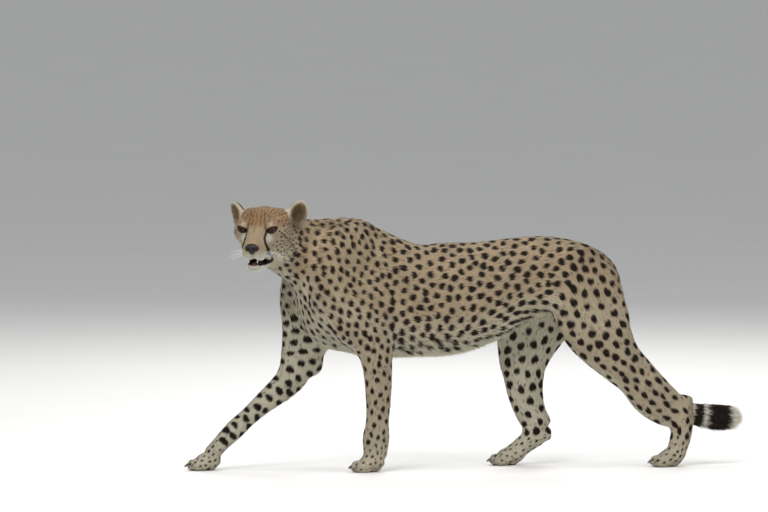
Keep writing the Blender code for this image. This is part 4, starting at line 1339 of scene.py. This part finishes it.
def makeEyeFinish():
    # pupil, amber iris with darker rim and fine rays, dark ball
    c = eyeShape
    p = Paint("eye", Roughness=.05, Specular_IOR_Level=.1)
    gaze = p.attribute("gaze")
    rays = p.ramp(p.noise(2600.0, 2), .35, .65, (.72, 1.2))
    iris = p.mix(c["iris"], p.grey(rays), .8, "MULTIPLY")
    tone = p.mix(c["pupil"], iris, p.ramp(gaze, c["pupilAngle"] - .6, c["pupilAngle"] + .6))
    tone = p.mix(tone, c["rim"], p.ramp(gaze, c["irisAngle"] - 7, c["irisAngle"] - 1))
    return p.colour(p.mix(tone, c["white"], p.ramp(gaze, c["irisAngle"], c["irisAngle"] + 1)))


eyeFinish = makeEyeFinish()
# how each eye turns from its opening to look at the viewer, in the head's axes
gazeTurn = {1: np.array([0, -.05, -.05]), -1: np.array([0, -.02, -.05])}


def makeNose():
    # leather pad: rounded block with a V below, two comma nostrils and the groove between them
    s = noseShape
    at = onHead(*nosePlace)
    field = Field([np.arange(a - s["reach"], a + s["reach"] + s["step"], s["step"]) for a in at])
    field.blob(at, s["half"], .004, headTurn)
    f, _, u = nosePlace
    field.blob(onHead(f - .0015, 0, u - .0110), (.0098, .0080, .0085), .006, headTurn)
    for side in (1, -1):
        field.blob(onHead(f, side * .0130, u - .0040), (.0092, .0074, .0062), .004, headTurn)
    for side in (1, -1):
        field.blob(onHead(f + .0120, side * .0086, u - .0020), (.0072, .0034, .0030), .0016,
                   tilted(headTurn, 18), carve=True)
        field.blob(onHead(f + .0040, side * .0172, u - .0042), (.0085, .0054, .0014), .0014,
                   tilted(headTurn, 18), carve=True)
    field.blob(onHead(f + .0140, 0, u - .0095), (.0058, .0008, .0125), .0014, headTurn, carve=True)
    points, quads = surfaceNet(untangled(field.d), field.axes)
    points, quads = biggestPiece(points, quads)
    thing = newMesh("nose", points - shift, triangulated(quads), finish=noseFinish)
    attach(thing, "root")


def makeNoseFinish():
    # dark leather with fine pebbles
    p = Paint("nose", Roughness=.5, Specular_IOR_Level=.3)
    p.bump(p.node("TexVoronoi", 0, {"Scale": 1100.0}), .5, .0004)
    light = p.ramp(p.noise(180.0, 3), .3, .7, (.75, 1.25))
    return p.colour(p.mix(noseShape["colour"], p.grey(light), 1.0, "MULTIPLY"))


noseFinish = makeNoseFinish()


# longer hair: length, thickness at the root, how steeply it rises, how far it hangs
lockKinds = {"belly": (.024, .0011, .22, .30), "chest": (.018, .0011, .22, .25),
             "nape": (.020, .0011, .34, .05), "cheek": (.014, .0009, .26, .20),
             "leg": (.013, .0009, .25, .15), "ear": (.0080, .0005, .38, .0),
             "tail": (.017, .0010, .24, .10), "tip": (.028, .0011, .30, .15),
             "crown": (.0085, .0007, .45, .0)}


def lockShares(points, normals, r):
    # how much long hair of each kind grows at each point
    isBody = (r["part"] <= 1) * (1 - r["isHead"])
    h = r["head"]
    down = smooth(normals[:, 2], -.25, -.75)
    nearEar = smooth(h[:, 0], -.14, -.11) * smooth(h[:, 2], .0, .03)
    shares = {"belly": isBody * down * smooth(r["x"], -.34, -.30) * .9,
              "chest": isBody * smooth(r["x"], -.34, -.38) * smooth(r["height"], .50, .25) * .55,
              "nape": isBody * smooth(normals[:, 2], .45, .8) * smooth(r["x"], -.22, -.32)
              * (1 - nearEar) * .8,
              "cheek": r["isHead"] * (1 - r["isEar"]) * smooth(h[:, 0], -.030, -.060)
              * smooth(h[:, 2], .0, -.03) * 1.2,
              "leg": r["isLeg"] * smooth(normals[:, 0], .45, .8) * smooth(r["z"], .09, .12) * .55,
              "tail": r["isTail"] * (1 - smooth(r["fromTip"], .10, .02)) * .5,
              "tip": r["isTail"] * smooth(r["fromTip"], .10, .02) * 1.6,
              "crown": r["isHead"] * (1 - r["isEar"]) * smooth(h[:, 2], .030, .045) * 1.1}
    ear = np.zeros(len(points))
    for side in (1, -1):
        e = r["ear%+d" % side]
        rim = np.sqrt((e[:, 1] / .0300) ** 2 + ((e[:, 2] - .012) / .0435) ** 2)
        facing = normals @ earFrame(side)[1][0]
        ear = np.maximum(ear, (np.abs(e[:, 0]) < .03) * smooth(rim, .45, .75) * smooth(rim, 1.15, 1.0)
                         * smooth(facing, -.1, .2))
    shares["ear"] = ear * r["isEar"] * 3
    return shares


def makeLocks(count, points, faces, normals, r, chart, spots, dots, unwrap, rng):
    # a three-sided root, a three-sided bend half way and a point
    shares = lockShares(points, normals, r)
    bare = 1 - bareSkin(points, normals, r)
    weight = sum(shares.values()) * bare + 1e-9
    place, normal, pick = surfacePoints(points, faces, normals, weight, count, rng)
    r = regions(place, normal)
    here = np.array(list(lockShares(place, normal, r).values()))
    table = np.array([lockKinds[name] for name in shares])
    kind = (here.cumsum(0) < rng.random(len(place)) * here.sum(0)).sum(0)
    kind = np.where(here.sum(0) < 1e-6, list(shares).index("crown"), np.minimum(kind, len(table) - 1))
    long, thick, rise, hang = table[kind].T
    n = len(place)
    long = long * rng.uniform(.65, 1.15, n)
    turn = rng.normal(0, .22, n)
    side = np.cross(normal, r["flow"])
    way = r["flow"] * np.cos(turn)[:, None] + side * np.sin(turn)[:, None]
    rise = rise * rng.uniform(.6, 1.3, n)
    first = unitRows(way * np.cos(rise)[:, None] + normal * np.sin(rise)[:, None])
    second = unitRows(way * np.cos(rise * .5)[:, None] + normal * np.sin(rise * .5)[:, None]
                      + np.stack([0 * hang, 0 * hang, -hang * 1.6], 1))
    second = unitRows(second + normal * np.maximum(0, .04 - np.einsum("ij,ij->i", second, normal))[:, None])
    bend = place + first * (long * .5)[:, None]
    tip = bend + second * (long * .5)[:, None]
    cross = np.cross(normal, way)
    corner = []
    for at, size in ((place - normal * .0006, 1.0), (bend, .72)):
        for a in (90, 210, 330):
            out = normal * math.sin(math.radians(a)) * .6 + cross * math.cos(math.radians(a))
            corner.append(at + out * (thick * size)[:, None])
    corner = np.stack(corner + [tip], 1)
    corner[..., 2] = np.maximum(corner[..., 2], floorGap["hair"])
    k = np.arange(n)[:, None] * 7
    shapes = [(0, 1, 2), (0, 3, 1), (1, 3, 4), (1, 4, 2), (2, 4, 5), (2, 5, 0), (0, 5, 3), (3, 6, 4),
              (4, 6, 5), (5, 6, 3)]
    faces = np.stack([k + f for f in shapes], 1).reshape(-1, 3)
    a, b, c = corner[0][[0, 3, 1]]
    if np.cross(b - a, c - a) @ ((a + b + c) / 3 - corner[0][:6].mean(0)) < 0:
        faces = faces[:, ::-1]
    look = place + way * (long * .30)[:, None]
    marks = markings(look, normal, r, spots, dots, rng.normal(0, .0006, n))
    fade = (kind == list(shares).index("ear")) * 1.0
    marks["pale"] = np.maximum(marks["pale"], fade * .85)
    marks["freckle"] *= 1 - fade
    marks["ink"] *= 1 - fade * .9
    values = {key: np.repeat(v, 7) for key, v in marks.items()}
    # each lock's own random tone; the root painted in shade (.80), the bend .98, the tip lighter at 1.10,
    # partly the hair's paler tip and partly painted depth
    values["toneAndRootShade"] = (rng.uniform(.86, 1.12, n)[:, None]
                       * np.array([.80] * 3 + [.98] * 3 + [1.10])).ravel()
    p = mapShape["patch"]
    patch = np.array([(-p, -p), (p, -p), (0, -p), (-p, 0), (p, 0), (0, 0), (0, p)])
    uv = mapPlace(place, chart[pick], *unwrap)[:, None, :] + patch
    thing = newMesh("longHair", corner.reshape(-1, 3) - shift, faces, uv.reshape(-1, 2)[faces.ravel()],
                    values, coat)
    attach(thing, "root")


def tube(rows, sides, flat=None, thin=.35):
    # points and triangles of a closed tube through rows of place and radius, made thinner by the share
    # `thin` in the direction `flat`
    at = np.array([row[0] for row in rows])
    radius = np.array([row[1] for row in rows])
    way = unitRows(np.gradient(at, axis=0))
    aside = unitRows(np.cross(way, (.31, .12, .94)))
    over = np.cross(aside, way)
    turn = np.arange(sides) * 2 * math.pi / sides
    out = np.cos(turn)[None, :, None] * aside[:, None, :] + np.sin(turn)[None, :, None] * over[:, None, :]
    ring = at[:, None, :] + radius[:, None, None] * out
    if flat is not None:
        away = ring - at[:, None, :]
        ring = ring - thin * np.einsum("ijk,k->ij", away, flat)[..., None] * flat
    quads = gridFaces(len(at), sides)
    points = np.vstack([ring.reshape(-1, 3), at[:1], at[-1:]])
    j = np.arange(sides)
    k = (j + 1) % sides
    last = (len(at) - 1) * sides
    caps = np.vstack([np.stack([j * 0 + len(points) - 2, k, j], 1),
                      np.stack([j * 0 + len(points) - 1, last + j, last + k], 1)])
    faces = np.vstack([triangulated(quads), caps])
    a, b, c = (points[faces[:, k]] - at.mean(0) for k in range(3))
    if (a * np.cross(b, c)).sum() < 0:
        faces = faces[:, ::-1]
    return points, faces


def joined(shapes):
    # several meshes as one, their point numbers run on
    points, faces, start = [], [], 0
    for p, f in shapes:
        points.append(p)
        faces.append(f + start)
        start += len(p)
    return np.vstack(points), np.vstack(faces)


def curve(a, b, c, count):
    # points of the arc that leaves a towards b and ends at c
    t = np.linspace(0, 1, count)[:, None]
    return a * (1 - t) ** 2 + 2 * b * t * (1 - t) + c * t ** 2


clawShape = {"rings": 9, "sides": 10, "radius": .0033, "tipRadius": .0003, "arch": .0035,
             "horn": (.055, .04, .03, 1), "worn": (.16, .12, .09, 1)}


def makeClaws():
    # curved, flattened cones, one for each claw of the solid
    shapes, nodes = [], []
    for leg in legs:
        for k in (1, 2, 3, 4):
            node = "claw_%s_%d" % (leg, k)
            low, high = (np.array(v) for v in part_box(node))
            y = (low[1] + high[1]) / 2
            root = np.array([high[0] - .0016, y, high[2] - .0029])
            tip = np.array([low[0] + .0004, y, low[2] + .0008])
            path = curve(root, (root + tip) / 2 + (-.001, 0, clawShape["arch"]), tip, clawShape["rings"])
            t = np.linspace(0, 1, clawShape["rings"])
            radius = clawShape["radius"] * (1 - t) ** .7 + clawShape["tipRadius"]
            shapes.append(tube(list(zip(path, radius)), clawShape["sides"], np.array([0, 1.0, 0])))
            nodes.append(node)
    points, faces = joined(shapes)
    p = Paint("claw", Roughness=.35)
    horn = p.colour(p.mix(clawShape["horn"], clawShape["worn"], p.ramp(p.noise(260.0, 2), .35, .7)))
    thing = newMesh("claws", points, faces, finish=horn)
    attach(thing, "root")
    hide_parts(*nodes)


# teeth: forward, left, height of the root, height of the tip, radius, lean outwards
teeth = [(.0490, .0115, -.0995, -.0938, .0017, .0005), (.0540, .0125, -.0820, -.0892, .0018, .0002),
         (.0545, .0016, -.0995, -.0966, .0009, 0), (.0540, .0043, -.0995, -.0964, .0010, 0),
         (.0530, .0072, -.0995, -.0960, .0011, 0)]
toothColour = (.50, .46, .36, 1)
# the tongue's colour is a dark pink darkened further as painted shade inside the mouth
tongue = {"path": [(-.035, 0, -.0935), (.016, 0, -.0930), (.047, 0, -.0972)], "radius": .0155, "thin": .62,
          "colour": (.110, .046, .042, 1)}
whiskers = {"rows": [(.050, -.0560), (.048, -.0620), (.046, -.0680)], "out": .034, "each": 5,
            "step": -.0080, "brow": (.010, .036, .022), "browStep": .004, "browSize": .26, "radius": .00020,
            "long": (.055, .085), "colour": (.80, .78, .72, 1)}


def makeTeeth():
    # small cones, each bowed a little forward, thinner as the square of the way to the tip
    shapes = []
    for side in (1, -1):
        for f, l, low, high, radius, lean in teeth:
            a, c = onHead(f, side * l, low), onHead(f - .001, side * (l + lean), high)
            path = curve(a, (a + c) / 2 + headTurn[0] * .0012, c, 7)
            t = np.linspace(0, 1, 7)
            shapes.append(tube(list(zip(path, radius * (1 - t ** 2) + .0002)), 10))
    points, faces = joined(shapes)
    p = Paint("tooth", Roughness=.3, Base_Color=toothColour)
    thing = newMesh("teeth", points - shift, faces, finish=p.material)
    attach(thing, "root")


def makeTongue():
    # a flattened tube with a rounded tip
    a, b, c = (onHead(*p) for p in tongue["path"])
    t = np.linspace(0, 1, 16)
    radius = tongue["radius"] * (1 - .30 * t) * np.sqrt(np.clip(1 - t ** 8, .004, 1))
    points, faces = tube(list(zip(curve(a, b, c, len(t)), radius)), 18, headTurn[2], tongue["thin"])
    p = Paint("tongue", Roughness=.45, Base_Color=tongue["colour"], Specular_IOR_Level=.3)
    thing = newMesh("tongue", points - shift, faces, finish=p.material)
    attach(thing, "root")


def makeWhiskers(points, normals, rng):
    # fine tapered hairs from the whisker pads and over the eyes, rooted on the nearest skin
    tree = treeOf(points)
    shapes = []
    for side in (1, -1):
        roots = [(f + k * whiskers["step"], whiskers["out"], u, 1.0)
                 for f, u in whiskers["rows"] for k in range(whiskers["each"])]
        f, l, u = whiskers["brow"]
        roots += [(f, l + whiskers["browStep"] * k, u, whiskers["browSize"]) for k in range(2)]
        for f, l, u, size in roots:
            i = tree.find(onHead(f, side * l, u))[1]
            long = rng.uniform(*whiskers["long"]) * size
            up = .35 if u > 0 else -.22
            way = unit(headTurn.T @ np.array([-.30 + rng.normal(0, .08), side * .85,
                                              up + rng.normal(0, .10)]) + normals[i] * .5)
            end = unit(headTurn.T @ np.array([-.75, side * .60, up - .25]))
            a = points[i] - normals[i] * .002
            path = curve(a, a + way * long * .5, a + way * long * .5 + end * long * .5, 10)
            t = np.linspace(0, 1, 10)
            shapes.append(tube(list(zip(path, whiskers["radius"] * (1 - .8 * t))), 5))
    points, faces = joined(shapes)
    p = Paint("whisker", Roughness=.4, Base_Color=whiskers["colour"])
    thing = newMesh("whiskers", points - shift, faces, finish=p.material)
    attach(thing, "root")


# the figure: skin, layers of tufts, long hair, then the small pieces
rng = np.random.default_rng(7)
skinPoints, skinFaces, skinNormals = makeSkin()
skinRegions = regions(skinPoints, skinNormals)
spots, dots = makeSpots(skinPoints, skinFaces, skinNormals, rng)
chart, turn, move = makeCharts(skinPoints, skinFaces, skinRegions)
corners = mapPlace(skinPoints[skinFaces.ravel()], np.repeat(chart, 3), turn, move)
marks = markings(skinPoints, skinNormals, skinRegions, spots, dots)
# the bare skin under the coat painted in shade, as dark as the roots of the tufts
marks["toneAndRootShade"] = np.full(len(skinPoints), .80)
skin = newMesh("skin", skinPoints - shift, skinFaces, corners, marks, hide)
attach(skin, "root")
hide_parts("head", "ear_left", "ear_right", "neck", "trunk", "foreleg_left", "forepaw_left",
            "foreleg_right", "forepaw_right", "thigh_left", "shank_left", "hindpaw_left", "thigh_right",
            "shank_right", "hindpaw_right", "tail_root", "tail_middle", "tail_tip")
print("skin", len(skinFaces))

spacing = tuftSizes(skinRegions, skinNormals)[:, 2]
density = 1 / spacing ** 2 * (1 - bareSkin(skinPoints, skinNormals, skinRegions))
place, normal, pick = surfacePoints(skinPoints, skinFaces, skinNormals, density,
                                    coatAmounts["layers"] * coatAmounts["tufts"], rng)
for k in range(coatAmounts["layers"]):
    part = slice(k, None, coatAmounts["layers"])
    r = regions(place[part], normal[part])
    tufts = makeTufts("tufts%d" % (k + 1), place[part], normal[part], chart[pick[part]], r,
                      tuftSizes(r, normal[part]), spots, dots, (turn, move), rng)
    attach(tufts, "root")
    print("tufts", k + 1, len(tufts.data.polygons))

lockCount = coatAmounts["locks"]
makeLocks(lockCount, skinPoints, skinFaces, skinNormals, skinRegions, chart, spots, dots, (turn, move), rng)
print("long hair")
makeEye("eyeLeft", 1, "eye_left")
makeEye("eyeRight", -1, "eye_right")
makeNose()
makeTeeth()
makeTongue()
makeClaws()
makeWhiskers(skinPoints, skinNormals, rng)
print("eyes, nose, mouth, claws and whiskers")
